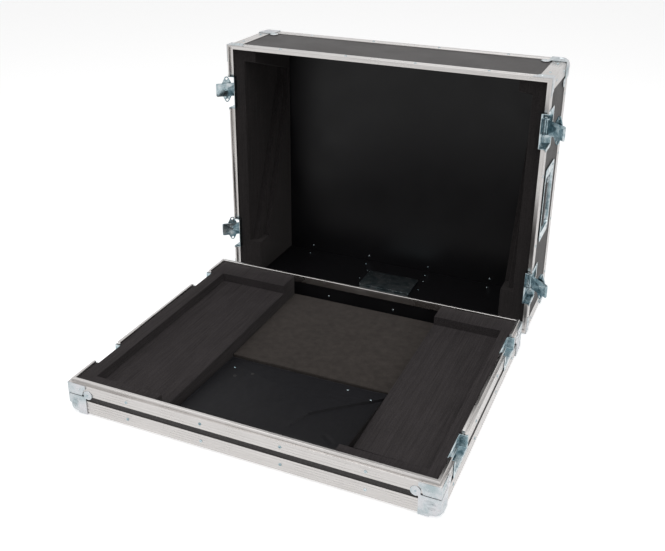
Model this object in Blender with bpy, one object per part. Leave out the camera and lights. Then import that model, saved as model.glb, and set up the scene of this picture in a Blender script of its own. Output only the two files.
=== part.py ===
# Mixer flight case in two lift-off halves: a shallow tray lying mouth up, and behind it the
# deep half standing on one long wall with its mouth towards the tray.
# Metres, +Z up, origin under the middle of the whole group, on the floor.
import math

import bmesh
import bpy
from mathutils import Matrix, Vector

# Driving dimensions of the case, over its edge extrusions
CASE_WIDTH = 0.870
CASE_LENGTH = 0.684
TRAY_DEPTH = 0.074
LID_DEPTH = 0.230
SEAM = 0.0004

# Sheet and extrusion sizes
PLY = 0.009
METAL = 0.0015
GAP = 0.0003
EDGE_LEG = 0.034
RAIL_LEG = 0.026
RAIL_WIDTH = 0.0123
RAIL_INNER_FACE = 0.0111
TRAY_RAIL_INNER_LEG = 0.012
LID_RAIL_INNER_LEG = 0.020
TONGUE_HEIGHT = 0.008
TONGUE_START = 0.005
TONGUE_CLEARANCE = 0.0011
TONGUE_CHAMFER = 0.001
SHOULDER = TONGUE_HEIGHT + 0.0006
GROOVE_DEPTH = 0.0004
GROOVE_HALF_WIDTH = 0.0006
EDGE_NOSE = 0.003

# Ball corners
BALL_PROUD = 0.005
BALL_RADIUS = 0.026
BALL_SHEET = 0.0015
WING_SIDE = 0.045
LOBE_CENTRE = 0.051
LOBE_RADIUS = 0.011

# Corner braces at the mouths
BRACE_LENGTH = 0.046
BRACE_HEIGHT = 0.0275
BRACE_SHEET = 0.0012
RIVET_RADIUS = 0.0042
RIVET_PROUD = 0.0016
RIVET_SHANK_RADIUS = 0.0024
RIVET_SHANK_END = 0.0008
RIVET_FROM_CORNER = 0.027
RIVET_FROM_MOUTH = 0.0145

# Butterfly latches, two on each short side of the deep half, and their keepers in the tray
LATCH_SPACING = 0.422
LATCH_CUT = 0.092
FLANGE_LENGTH = 0.104
FLANGE_DEPTH = 0.064
KEEPER_FLANGE_DEPTH = 0.040
TUB_LENGTH = 0.086
TUB_DEPTH = 0.056
KEEPER_TUB_DEPTH = 0.030
TUB_RECESS = 0.016
DISH_SHEET = 0.0012
EAR_CLEARANCE = 0.0008
EAR_SHEET = 0.0024
EAR_RADIUS = 0.0045
HOOK_PIVOT_INSET = 0.046
HOOK_PIVOT_RECESS = 0.009
HOOK_PIN_RADIUS = 0.0017
HOOK_PIN_REACH = 0.0030
HOOK_BARREL_RADIUS = 0.0032
HOOK_LENGTH = 0.067
HOOK_WIDTH = 0.037
HOOK_SHEET = 0.002
HOOK_LIP = 0.0060
CATCH_LENGTH = 0.050
CATCH_FROM_RIM = 0.0145
CATCH_WIDTH = 0.0035
CATCH_HEIGHT = 0.0050
HOOK_OPEN_ANGLE = math.radians(50.0)
SPINDLE_DISTANCE = 0.036
BUTTERFLY_SPAN = 0.072
BUTTERFLY_CHORD = 0.040
BUTTERFLY_SHOULDER = 0.004
BUTTERFLY_TIP_RADIUS = 0.006
BUTTERFLY_HOLE_RADIUS = 0.0034
BUTTERFLY_SHEET = 0.0024
BUTTERFLY_LIFT = 0.0041
HUB_RADIUS = 0.0075
RIB_HEIGHT = 0.0012
PIN_CLEARANCE = 0.0004

# Sprung handles
HANDLE_FLANGE = (0.198, 0.110)
HANDLE_TUB = (0.150, 0.092)
HANDLE_RECESS = 0.016
HANDLE_FROM_MOUTH = 0.100
BOTTOM_HANDLE_X = 0.014
BAIL_ROD_RADIUS = 0.004
BAIL_ARM = 0.068
BAIL_HALF_WIDTH = 0.064
BAIL_STUB_END = 0.0744
BAIL_PIVOT_RECESS = 0.008
GRIP_LENGTH = 0.118
GRIP_WIDTH = 0.026
GRIP_TOP = 0.0035
GRIP_BOTTOM = 0.013
GRIP_CORNER = 0.005
BAIL_BEND = 0.008
BAIL_PIVOT_FROM_WALL = 0.009
LUG_RADIUS = 0.0066

# Foam and cloth in the tray, heights above the underside of the extrusions
FOAM_INSET = 0.0126
FOAM_TOP = 0.078
PLATFORM_TOP = 0.055
LEFT_BLOCK_EDGE = -0.198
RIGHT_BLOCK_EDGE = 0.226
LEFT_STRIP = 0.049
RIGHT_STRIP = 0.037
FRONT_STRIP = 0.039
LEFT_FRONT_STRIP_END = -0.213
RIGHT_FRONT_STRIP_END = 0.2085
LEFT_REAR_STRIP = 0.080
RIGHT_REAR_STRIP = 0.072
PAD_TOP = 0.024
POCKET_REAR = 0.321
POCKET_RISE = 0.021
POCKET_HEM = 0.0042
POCKET_CROWN = 0.006
POCKET_FOLD_START = 0.60
POCKET_FOLD_DIP = 0.007
POCKET_FOLD_WIDTH = 0.10
SOFT_GAP = 0.0006

# Foam in the deep half: a two-level recess for each end of the mixer, distances behind the mouth
LINER_THICKNESS = 0.079
LINER_MOUTH_INSET = 0.012
LINER_RECESS = 0.0335
LINER_FIRST_STEP = 0.016
LINER_TOP_BLOCK = 0.0387
LINER_TOP_LEAN = 0.29
LINER_BOTTOM_BLOCK = 0.109
LINER_RECESS_BACK = 0.204
LINER_DEEP_FOOT = 0.029
LINER_DEEP_SLOPE = 0.389
LINER_LEDGE_FOOT = 0.066
LINER_LEDGE_SLOPE = 0.349
NOTCH_CLEARANCE = 0.0004

HALF_WIDTH = CASE_WIDTH / 2
HALVES_GAP = TRAY_DEPTH + SEAM
PLY_OUT = METAL + GAP
PLY_IN = PLY_OUT + PLY
TOTAL_DEPTH = CASE_LENGTH + HALVES_GAP + LID_DEPTH
TRAY_FRONT_Y = -TOTAL_DEPTH / 2
LID_BACK_Y = TOTAL_DEPTH / 2
BALL_CENTRE = BALL_RADIUS - BALL_PROUD
TRIM_SIDE = 0.019
MERGE_DISTANCE = 0.000004

parts = bpy.data.collections.new("mixer_flight_case")


def clear_scene():
    for obj in list(bpy.data.objects):
        bpy.data.objects.remove(obj, do_unlink=True)
    bpy.context.scene.collection.children.link(parts)


def make_material(name, color, roughness, metallic):
    material = bpy.data.materials.new(name)
    material.use_nodes = True
    shader = material.node_tree.nodes["Principled BSDF"]
    shader.inputs["Base Color"].default_value = (*color, 1.0)
    shader.inputs["Roughness"].default_value = roughness
    shader.inputs["Metallic"].default_value = metallic
    material.diffuse_color = (*color, 1.0)
    return material


def make_materials():
    return {
        "ply": make_material("black_ply", (0.035, 0.032, 0.033), 0.55, 0.0),
        "aluminium": make_material("aluminium_extrusion", (0.78, 0.77, 0.77), 0.32, 1.0),
        "zinc": make_material("zinc_plate", (0.62, 0.68, 0.70), 0.25, 1.0),
        "foam": make_material("charcoal_foam", (0.050, 0.048, 0.048), 0.95, 0.0),
        "pad": make_material("brown_foam", (0.085, 0.078, 0.072), 0.95, 0.0),
        "cloth": make_material("black_nylon", (0.030, 0.031, 0.037), 0.60, 0.0),
        "rubber": make_material("black_rubber", (0.020, 0.020, 0.020), 0.70, 0.0),
    }


def make_frame(name, parent, matrix):
    # An empty that carries the pieces placed in its own coordinates
    empty = bpy.data.objects.new(name, None)
    parts.objects.link(empty)
    empty.parent = parent
    empty.matrix_local = matrix
    return empty


def add_object(name, bm, material=None, frame=None):
    bmesh.ops.recalc_face_normals(bm, faces=bm.faces[:])
    mesh = bpy.data.meshes.new(name)
    bm.to_mesh(mesh)
    bm.free()
    obj = bpy.data.objects.new(name, mesh)
    parts.objects.link(obj)
    if material:
        obj.data.materials.append(material)
    obj.parent = frame
    return obj


def bake(obj):
    # Replace the object's mesh by what its modifiers give
    graph = bpy.context.evaluated_depsgraph_get()
    mesh = bpy.data.meshes.new_from_object(obj.evaluated_get(graph))
    obj.modifiers.clear()
    old = obj.data
    obj.data = mesh
    bpy.data.meshes.remove(old)
    bm = bmesh.new()
    bm.from_mesh(mesh)
    bmesh.ops.remove_doubles(bm, verts=bm.verts[:], dist=MERGE_DISTANCE)
    bmesh.ops.dissolve_degenerate(bm, edges=bm.edges[:], dist=MERGE_DISTANCE)
    bm.to_mesh(mesh)
    bm.free()


def combine(obj, others, operation):
    # Union, difference or intersection of an object with others in the same coordinates
    for other in others:
        frame = other.parent
        other.parent = obj.parent
        modifier = obj.modifiers.new("shape", "BOOLEAN")
        modifier.operation = operation
        modifier.solver = "EXACT"
        modifier.object = other
        bake(obj)
        other.parent = frame
        bpy.data.objects.remove(other, do_unlink=True)
    return obj


def box_bmesh(low, high):
    low = Vector(low)
    high = Vector(high)
    size = high - low
    matrix = Matrix.Translation((low + high) / 2) @ Matrix.Diagonal((*size, 1.0))
    bm = bmesh.new()
    bmesh.ops.create_cube(bm, size=1.0, matrix=matrix)
    return bm


def box(name, low, high, material=None, frame=None, corner=0.0, along=0, segments=3):
    # A box between two corners, its edges along one axis rounded where corner is given
    bm = box_bmesh(low, high)
    if corner > 0.0:
        edges = [e for e in bm.edges if abs((e.verts[1].co - e.verts[0].co)[along]) > 1e-6]
        bmesh.ops.bevel(bm, geom=edges, offset=corner, segments=segments, profile=0.5, affect="EDGES")
    return add_object(name, bm, material, frame)


def rod(name, start, end, radius, segments=12, end_radius=None):
    start = Vector(start)
    end = Vector(end)
    axis = end - start
    turn = axis.to_track_quat("Z", "Y").to_matrix().to_4x4()
    bm = bmesh.new()
    bmesh.ops.create_cone(
        bm, cap_ends=True, segments=segments, radius1=radius,
        radius2=radius if end_radius is None else end_radius,
        depth=axis.length, matrix=Matrix.Translation((start + end) / 2) @ turn)
    return add_object(name, bm)


def outline_solid(name, outline, low, high, axes, material=None, frame=None):
    # A flat outline, given in two of the axes, extruded between two heights along the third
    curve = bpy.data.curves.new(name, "CURVE")
    curve.dimensions = "2D"
    curve.fill_mode = "BOTH"
    curve.extrude = (high - low) / 2
    spline = curve.splines.new("POLY")
    spline.points.add(len(outline) - 1)
    for point, (a, b) in zip(spline.points, outline):
        point.co = (a, b, 0.0, 1.0)
    spline.use_cyclic_u = True
    guide = bpy.data.objects.new(name + "_outline", curve)
    parts.objects.link(guide)
    graph = bpy.context.evaluated_depsgraph_get()
    mesh = bpy.data.meshes.new_from_object(guide.evaluated_get(graph))
    bpy.data.objects.remove(guide, do_unlink=True)
    bm = bmesh.new()
    bm.from_mesh(mesh)
    bpy.data.meshes.remove(mesh)
    bmesh.ops.remove_doubles(bm, verts=bm.verts[:], dist=1e-6)
    middle = (high + low) / 2
    for vert in bm.verts:
        a, b, c = vert.co
        place = [0.0, 0.0, 0.0]
        place[axes[0]] = a
        place[axes[1]] = b
        place[axes[2]] = c + middle
        vert.co = place
    return add_object(name, bm, material, frame)


def sweep(name, outline, path, closed, base, upward, material, frame):
    # A mitred run of one profile along corners in the width-length plane.
    # The outline gives (inward, height) points; a height counts from base, up or down in depth.
    count = len(path)
    bm = bmesh.new()
    sections = []
    for i, corner in enumerate(path):
        before = Vector(path[i - 1]) if (closed or i > 0) else None
        after = Vector(path[(i + 1) % count]) if (closed or i < count - 1) else None
        here = Vector(corner)
        normals = []
        for start, end in ((before, here), (here, after)):
            if start is not None and end is not None:
                direction = (end - start).normalized()
                normals.append(Vector((-direction.y, direction.x)))
        if len(normals) == 2:
            mitre = (normals[0] + normals[1]) / (1.0 + normals[0].dot(normals[1]))
        else:
            mitre = normals[0]
        ring = []
        for inward, height in outline:
            flat = here + mitre * inward
            depth = base + height if upward else base - height
            ring.append(bm.verts.new((flat.x, flat.y, depth)))
        sections.append(ring)
    spans = count if closed else count - 1
    size = len(outline)
    for i in range(spans):
        first = sections[i]
        second = sections[(i + 1) % count]
        for j in range(size):
            k = (j + 1) % size
            bm.faces.new((first[j], first[k], second[k], second[j]))
    if not closed:
        bm.faces.new(sections[0])
        bm.faces.new(list(reversed(sections[-1])))
    return add_object(name, bm, material, frame)


def flipped_copy(obj, name, flips, move=(0.0, 0.0, 0.0), frame=None):
    # A copy of a baked piece, mirrored in the given axes and then moved
    mesh = obj.data.copy()
    mesh.name = name
    mesh.transform(Matrix.Translation(Vector(move)) @ Matrix.Diagonal((*flips, 1.0)))
    if flips[0] * flips[1] * flips[2] < 0:
        mesh.flip_normals()
    copy = bpy.data.objects.new(name, mesh)
    parts.objects.link(copy)
    copy.parent = frame
    return copy


def grooves(start, end, count, upright):
    # V grooves along a straight outer face, as points between start and end (not included)
    points = []
    step = (end - start) / (count + 1)
    half = GROOVE_HALF_WIDTH if end > start else -GROOVE_HALF_WIDTH
    for i in range(count):
        middle = start + step * (i + 1)
        for offset, depth in ((-half, 0.0), (0.0, GROOVE_DEPTH), (half, 0.0)):
            place = middle + offset
            points.append((depth, place) if upright else (place, depth))
    return points


def angle_outline():
    # Riveted angle: one leg up the wall, the other under the panel, with a rounded nose
    nose = EDGE_NOSE
    points = [(0.0, EDGE_LEG)]
    points += grooves(EDGE_LEG, nose, 4, True)
    points += [(0.0, nose), (0.3 * nose, 0.3 * nose), (nose, 0.0)]
    points += grooves(nose, EDGE_LEG, 4, False)
    points += [(EDGE_LEG, 0.0), (EDGE_LEG, METAL), (METAL, METAL), (METAL, EDGE_LEG)]
    return points


def tongue_rail_outline():
    # Heights are measured from the joint plane into the tray, so the tongue is negative
    chamfer = TONGUE_CHAMFER
    points = [(0.0, RAIL_LEG)]
    points += grooves(RAIL_LEG, 0.0, 3, True)
    points += [(0.0, 0.0), (TONGUE_START, 0.0), (TONGUE_START, -TONGUE_HEIGHT + chamfer),
               (TONGUE_START + chamfer, -TONGUE_HEIGHT), (RAIL_WIDTH - chamfer, -TONGUE_HEIGHT),
               (RAIL_WIDTH, -TONGUE_HEIGHT + chamfer), (RAIL_WIDTH, TRAY_RAIL_INNER_LEG),
               (RAIL_INNER_FACE, TRAY_RAIL_INNER_LEG), (RAIL_INNER_FACE, METAL), (METAL, METAL),
               (METAL, RAIL_LEG)]
    return points


def groove_rail_outline():
    # The other half of the joint: an outer lip with a shoulder behind it for the tongue
    web = SHOULDER + METAL
    lip = TONGUE_START - TONGUE_CLEARANCE
    points = [(0.0, RAIL_LEG)]
    points += grooves(RAIL_LEG, 0.0, 3, True)
    points += [(0.0, 0.0), (lip, 0.0), (lip, SHOULDER), (RAIL_WIDTH, SHOULDER),
               (RAIL_WIDTH, LID_RAIL_INNER_LEG), (RAIL_INNER_FACE, LID_RAIL_INNER_LEG),
               (RAIL_INNER_FACE, web), (METAL, web), (METAL, RAIL_LEG)]
    return points


def ball(name, radius, segments):
    bm = bmesh.new()
    bmesh.ops.create_uvsphere(bm, u_segments=segments, v_segments=segments // 2, radius=radius,
                              matrix=Matrix.Translation((BALL_CENTRE,) * 3))
    return add_object(name, bm)


def trim_cutter(radius, low):
    # The corner region outside the ball, taken off panels, extrusions and wings
    cube = box("trim", (low,) * 3, (TRIM_SIDE,) * 3)
    return combine(cube, [ball("trim_ball", radius, 16)], "DIFFERENCE")


def wing_outline():
    # Square plate along both edges with a round lobe on its diagonal
    start = -BALL_SHEET - GAP
    reach = math.sqrt(LOBE_RADIUS ** 2 - (LOBE_CENTRE - WING_SIDE) ** 2)
    meet = math.atan2(-reach, WING_SIDE - LOBE_CENTRE)
    meet_end = math.atan2(WING_SIDE - LOBE_CENTRE, -reach) + 2 * math.pi
    points = [(start, start), (WING_SIDE, start)]
    steps = 9
    for i in range(steps + 1):
        angle = meet + (meet_end - meet) * i / steps
        across = LOBE_CENTRE + LOBE_RADIUS * math.cos(angle)
        along = LOBE_CENTRE + LOBE_RADIUS * math.sin(angle)
        points.append((across, along))
    points.append((start, WING_SIDE))
    return points


def make_ball_corner():
    # Pressed corner with its vertex at the origin and the case in the positive octant
    outer = -BALL_SHEET - GAP
    wings = outline_solid("corner", wing_outline(), outer, -GAP, (0, 1, 2))
    others = [outline_solid("wing_b", wing_outline(), outer, -GAP, (1, 2, 0)),
              outline_solid("wing_c", wing_outline(), outer, -GAP, (2, 0, 1))]
    combine(wings, others, "UNION")
    wing_trim = TRIM_SIDE - 0.001
    combine(wings, [box("wing_trim", (-0.006,) * 3, (wing_trim,) * 3)], "DIFFERENCE")
    combine(wings, [ball("ball", BALL_RADIUS, 20)], "UNION")
    inner = box("inner", (-GAP,) * 3, (0.090,) * 3)
    combine(inner, [trim_cutter(BALL_RADIUS - BALL_SHEET, -0.007)], "DIFFERENCE")
    combine(wings, [inner], "DIFFERENCE")
    return wings


def corner_signs():
    # Name, mirror factors and corner point of the four closed corners of a half
    return [("left_low", (1, 1, 1), (-HALF_WIDTH, 0.0, 0.0)), ("right_low", (-1, 1, 1), (HALF_WIDTH, 0.0, 0.0)),
            ("left_high", (1, -1, 1), (-HALF_WIDTH, CASE_LENGTH, 0.0)),
            ("right_high", (-1, -1, 1), (HALF_WIDTH, CASE_LENGTH, 0.0))]


def trim_corners(obj, lows=True, highs=True):
    for name, flips, move in corner_signs():
        if (name.endswith("low") and not lows) or (name.endswith("high") and not highs):
            continue
        master = trim_cutter(BALL_RADIUS - BALL_SHEET - GAP, -0.008)
        cutter = flipped_copy(master, "trim_here", flips, move, obj.parent)
        bpy.data.objects.remove(master, do_unlink=True)
        combine(obj, [cutter], "DIFFERENCE")


def latch_stations():
    middle = CASE_LENGTH / 2
    return [("low", middle - LATCH_SPACING / 2), ("high", middle + LATCH_SPACING / 2)]


def make_panels(prefix, long_names, depth, ply_edge, frame, ply):
    # Closed panel, two long walls the full width, two short walls between them
    made = {}
    width_in = HALF_WIDTH - PLY_OUT
    top = depth - ply_edge - GAP
    made["floor"] = box(prefix + ("floor" if prefix == "tray_" else "back"), (-width_in, PLY_OUT, PLY_OUT),
                        (width_in, CASE_LENGTH - PLY_OUT, PLY_IN), ply, frame)
    low = PLY_IN + GAP
    made["low"] = box(prefix + long_names[0], (-width_in, PLY_OUT, low), (width_in, PLY_IN, top), ply, frame)
    made["high"] = box(prefix + long_names[1], (-width_in, CASE_LENGTH - PLY_IN, low),
                       (width_in, CASE_LENGTH - PLY_OUT, top), ply, frame)
    for side, sign in (("left", -1), ("right", 1)):
        xs = sorted((sign * (HALF_WIDTH - PLY_OUT), sign * (HALF_WIDTH - PLY_IN)))
        made[side] = box(prefix + "wall_" + side, (xs[0], PLY_IN + GAP, low),
                         (xs[1], CASE_LENGTH - PLY_IN - GAP, top), ply, frame)
    trim_corners(made["floor"])
    trim_corners(made["low"], highs=False)
    trim_corners(made["high"], lows=False)
    return made


def cut_wall(wall, low, high, frame):
    combine(wall, [box("opening", low, high, None, frame)], "DIFFERENCE")


def edge_frame(name, frame, aluminium):
    path = [(-HALF_WIDTH, 0.0), (HALF_WIDTH, 0.0), (HALF_WIDTH, CASE_LENGTH), (-HALF_WIDTH, CASE_LENGTH)]
    ring = sweep(name, angle_outline(), path, True, 0.0, True, aluminium, frame)
    trim_corners(ring)
    return ring


def depth_edges(frame, aluminium):
    # Straight angles along the four edges that run from the back to the mouth
    outline = angle_outline()
    for name, flips, move in corner_signs():
        bar = outline_solid("bar", outline, EDGE_LEG + GAP, LID_DEPTH - RAIL_LEG - GAP, (0, 1, 2))
        wall = "bottom" if name.endswith("low") else "top"
        piece = flipped_copy(bar, "lid_edge_%s_%s" % (wall, name.split("_")[0]), flips, move, frame)
        piece.data.materials.append(aluminium)
        bpy.data.objects.remove(bar, do_unlink=True)


def brace_outline(start, depth):
    # One leg of a corner plate: full width at the mouth, drawn in below, (along, depth) points
    shape = [(BRACE_LENGTH, 0.0), (BRACE_LENGTH, 0.009), (0.041, 0.013), (0.038, 0.020), (0.0355, BRACE_HEIGHT)]
    points = [(start, depth)]
    points += [(along, depth - height) for along, height in shape]
    points.append((start, depth - BRACE_HEIGHT))
    return points


def brace_rivet(axis, depth, start, end, radius, tip):
    # A rivet part through one leg, between two distances from the rail's face
    low = [0.0, 0.0, depth - RIVET_FROM_MOUTH]
    high = [0.0, 0.0, depth - RIVET_FROM_MOUTH]
    low[axis] = RIVET_FROM_CORNER
    high[axis] = RIVET_FROM_CORNER
    low[1 - axis] = end
    high[1 - axis] = start
    return rod("rivet", low, high, radius, 8, tip)


def add_braces(rail, depth, low_end, frame):
    # Two wrapped corner plates on a rail, each leg held by one rivet that reaches into the rail
    outer = -BRACE_SHEET - GAP
    overlap = BRACE_SHEET / 3
    for sign in (1, -1):
        outline = brace_outline(outer, depth)
        plate = outline_solid("brace", outline, outer, -GAP, (0, 2, 1))
        others = [outline_solid("brace_leg", outline, outer, -GAP, (1, 2, 0))]
        for axis in (0, 1):
            others.append(brace_rivet(axis, depth, outer - overlap, RIVET_SHANK_END,
                                      RIVET_SHANK_RADIUS, RIVET_SHANK_RADIUS))
            others.append(brace_rivet(axis, depth, outer - RIVET_PROUD, outer + overlap,
                                      RIVET_RADIUS, RIVET_RADIUS * 0.6))
        combine(plate, others, "UNION")
        flips = (sign, 1 if low_end else -1, 1)
        move = (-sign * HALF_WIDTH, 0.0 if low_end else CASE_LENGTH, 0.0)
        placed = flipped_copy(plate, "brace_here", flips, move, frame)
        bpy.data.objects.remove(plate, do_unlink=True)
        combine(rail, [placed], "UNION")


def mouth_rails(prefix, names, outline, depth, frame, aluminium):
    # Two long rails that turn the corners up to the latches, and a short one between the latches
    low_station = latch_stations()[0][1]
    first = low_station - LATCH_CUT / 2
    second = low_station + LATCH_CUT / 2
    far = CASE_LENGTH
    low_path = [(-HALF_WIDTH, first), (-HALF_WIDTH, 0.0), (HALF_WIDTH, 0.0), (HALF_WIDTH, first)]
    high_path = [(HALF_WIDTH, far - first), (HALF_WIDTH, far), (-HALF_WIDTH, far), (-HALF_WIDTH, far - first)]
    low = sweep(prefix + names[0], outline, low_path, False, depth, False, aluminium, frame)
    add_braces(low, depth, True, frame)
    high = sweep(prefix + names[1], outline, high_path, False, depth, False, aluminium, frame)
    add_braces(high, depth, False, frame)
    sweep(prefix + "rail_left", outline, [(-HALF_WIDTH, far - second), (-HALF_WIDTH, second)], False,
          depth, False, aluminium, frame)
    sweep(prefix + "rail_right", outline, [(HALF_WIDTH, second), (HALF_WIDTH, far - second)], False,
          depth, False, aluminium, frame)


def make_latch_dish(depth, flange_depth, tub_depth, keeper):
    # Pressed dish open at the mouth, about the middle of its length, on the right-hand wall
    face = HALF_WIDTH + GAP
    dish = box("dish", (face, -FLANGE_LENGTH / 2, depth - flange_depth),
               (face + DISH_SHEET, FLANGE_LENGTH / 2, depth), corner=0.006, along=0)
    half = TUB_LENGTH / 2
    wall = DISH_SHEET
    root = wall / 3
    past = 0.01
    floor = HALF_WIDTH - TUB_RECESS
    tub = box("tub", (floor - wall, -half - wall, depth - tub_depth - wall),
              (face + wall / 2, half + wall, depth))
    combine(dish, [tub], "UNION")
    hollow = box("hollow", (floor, -half, depth - tub_depth), (face + past, half, depth + past))
    combine(dish, [hollow], "DIFFERENCE")
    mouth_edge = box("mouth_edge", (floor - past, -FLANGE_LENGTH, depth - SEAM),
                     (face + past, FLANGE_LENGTH, depth + past))
    combine(dish, [mouth_edge], "DIFFERENCE")
    if keeper:
        catch = box("catch", (floor - root, -CATCH_LENGTH / 2, depth - CATCH_FROM_RIM - CATCH_WIDTH),
                    (floor + CATCH_HEIGHT, CATCH_LENGTH / 2, depth - CATCH_FROM_RIM))
        combine(dish, [catch], "UNION")
        return dish
    pivot_x = HALF_WIDTH - HOOK_PIVOT_RECESS
    pivot_d = depth - HOOK_PIVOT_INSET
    for sign in (-1, 1):
        inner = sign * (HOOK_WIDTH / 2 + EAR_CLEARANCE)
        outer = sign * (HOOK_WIDTH / 2 + EAR_CLEARANCE + EAR_SHEET)
        ear = box("ear", (floor - root, min(inner, outer), pivot_d - EAR_RADIUS),
                  (pivot_x + EAR_RADIUS, max(inner, outer), pivot_d + EAR_RADIUS),
                  corner=0.003, along=1, segments=2)
        combine(dish, [ear], "UNION")
        hole = rod("hole", (pivot_x, inner - sign * 0.001, pivot_d), (pivot_x, outer + sign * 0.001, pivot_d),
                   HOOK_PIN_RADIUS + PIN_CLEARANCE)
        combine(dish, [hole], "DIFFERENCE")
    return dish


def make_hook():
    # Closed pose about the pivot: the plate runs along +Z towards the mouth, outside is +X
    half = HOOK_WIDTH / 2
    sheet = HOOK_SHEET / 2
    margin = 0.003
    plate = box("hook", (-sheet, -half, 0.0), (sheet, half, HOOK_LENGTH), corner=0.004, along=0)
    lip = box("lip", (-HOOK_LIP, -half + margin, HOOK_LENGTH - HOOK_SHEET), (0.0, half - margin, HOOK_LENGTH))
    barrel = rod("barrel", (0.0, -half, 0.0), (0.0, half, 0.0), HOOK_BARREL_RADIUS)
    pin_end = half + HOOK_PIN_REACH
    pin = rod("pin", (0.0, -pin_end, 0.0), (0.0, pin_end, 0.0), HOOK_PIN_RADIUS)
    ribs = []
    for sign in (-1, 1):
        edges = sorted((sign * (half - 1.5 * margin), sign * (half - margin + sheet / 2)))
        ribs.append(box("rib", (0.0, edges[0], 2 * margin),
                        (sheet + RIB_HEIGHT, edges[1], HOOK_LENGTH - 2 * margin)))
    post = rod("post", (-sheet - RIB_HEIGHT, 0.0, SPINDLE_DISTANCE), (0.0, 0.0, SPINDLE_DISTANCE),
               HUB_RADIUS * 0.7)
    return combine(plate, [lip, barrel, pin, post] + ribs, "UNION")


def butterfly_outline():
    # Two wings, widest beside the spindle and drawn in straight to a round tip
    half_chord = BUTTERFLY_CHORD / 2
    radius = BUTTERFLY_TIP_RADIUS
    centre = BUTTERFLY_SPAN / 2 - radius
    run = centre - BUTTERFLY_SHOULDER
    tangent = math.acos(radius / math.hypot(run, half_chord))
    last = math.pi - math.atan2(half_chord, run) - tangent
    steps = 6
    points = []
    for sign in (1, -1):
        points.append((sign * BUTTERFLY_SHOULDER, -sign * half_chord))
        for i in range(steps + 1):
            angle = -last + 2 * last * i / steps
            points.append((sign * (centre + radius * math.cos(angle)), sign * radius * math.sin(angle)))
        points.append((sign * BUTTERFLY_SHOULDER, sign * half_chord))
    return points


def make_butterfly():
    # About the spindle: the wings lie along Y, and the spindle points along +X off the hook
    top = BUTTERFLY_LIFT + BUTTERFLY_SHEET
    wings = outline_solid("butterfly", butterfly_outline(), BUTTERFLY_LIFT, top, (1, 2, 0))
    hub = rod("hub", (HOOK_SHEET / 2 + GAP, 0.0, 0.0), (top + GAP, 0.0, 0.0), HUB_RADIUS, 14)
    combine(wings, [hub], "UNION")
    place = BUTTERFLY_SPAN / 2 - BUTTERFLY_TIP_RADIUS
    for sign in (-1, 1):
        hole = rod("hole", (0.0, sign * place, 0.0), (2 * top, sign * place, 0.0), BUTTERFLY_HOLE_RADIUS, 10)
        combine(wings, [hole], "DIFFERENCE")
    return wings


def make_handle_dish():
    # About its middle, in coordinates (out of the wall, along the grip, towards the mouth)
    flange = box("handle", (GAP, -HANDLE_FLANGE[0] / 2, -HANDLE_FLANGE[1] / 2),
                 (GAP + DISH_SHEET, HANDLE_FLANGE[0] / 2, HANDLE_FLANGE[1] / 2),
                 corner=0.012, along=0, segments=4)
    half_l = HANDLE_TUB[0] / 2
    half_d = HANDLE_TUB[1] / 2
    wall = DISH_SHEET
    tub = box("tub", (-HANDLE_RECESS - wall, -half_l - wall, -half_d - wall),
              (GAP + wall / 2, half_l + wall, half_d + wall), corner=0.008, along=0)
    combine(flange, [tub], "UNION")
    hollow = box("hollow", (-HANDLE_RECESS, -half_l, -half_d), (HANDLE_RECESS, half_l, half_d),
                 corner=0.007, along=0)
    combine(flange, [hollow], "DIFFERENCE")
    pivot_d = handle_pivot_offset()
    for sign in (-1, 1):
        inner = sign * (BAIL_HALF_WIDTH + BAIL_ROD_RADIUS + 0.001)
        outer = sign * (half_l + wall / 2)
        lug = box("lug", (-HANDLE_RECESS - wall / 2, min(inner, outer), pivot_d - LUG_RADIUS),
                  (-BAIL_PIVOT_RECESS + LUG_RADIUS, max(inner, outer), pivot_d + LUG_RADIUS),
                  corner=0.003, along=1, segments=2)
        combine(flange, [lug], "UNION")
        hole = rod("hole", (-BAIL_PIVOT_RECESS, inner - sign * 0.001, pivot_d),
                   (-BAIL_PIVOT_RECESS, sign * (BAIL_STUB_END + GAP), pivot_d), BAIL_ROD_RADIUS + PIN_CLEARANCE)
        combine(flange, [hole], "DIFFERENCE")
    return flange


def handle_pivot_offset():
    return -HANDLE_TUB[1] / 2 + BAIL_PIVOT_FROM_WALL


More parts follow.
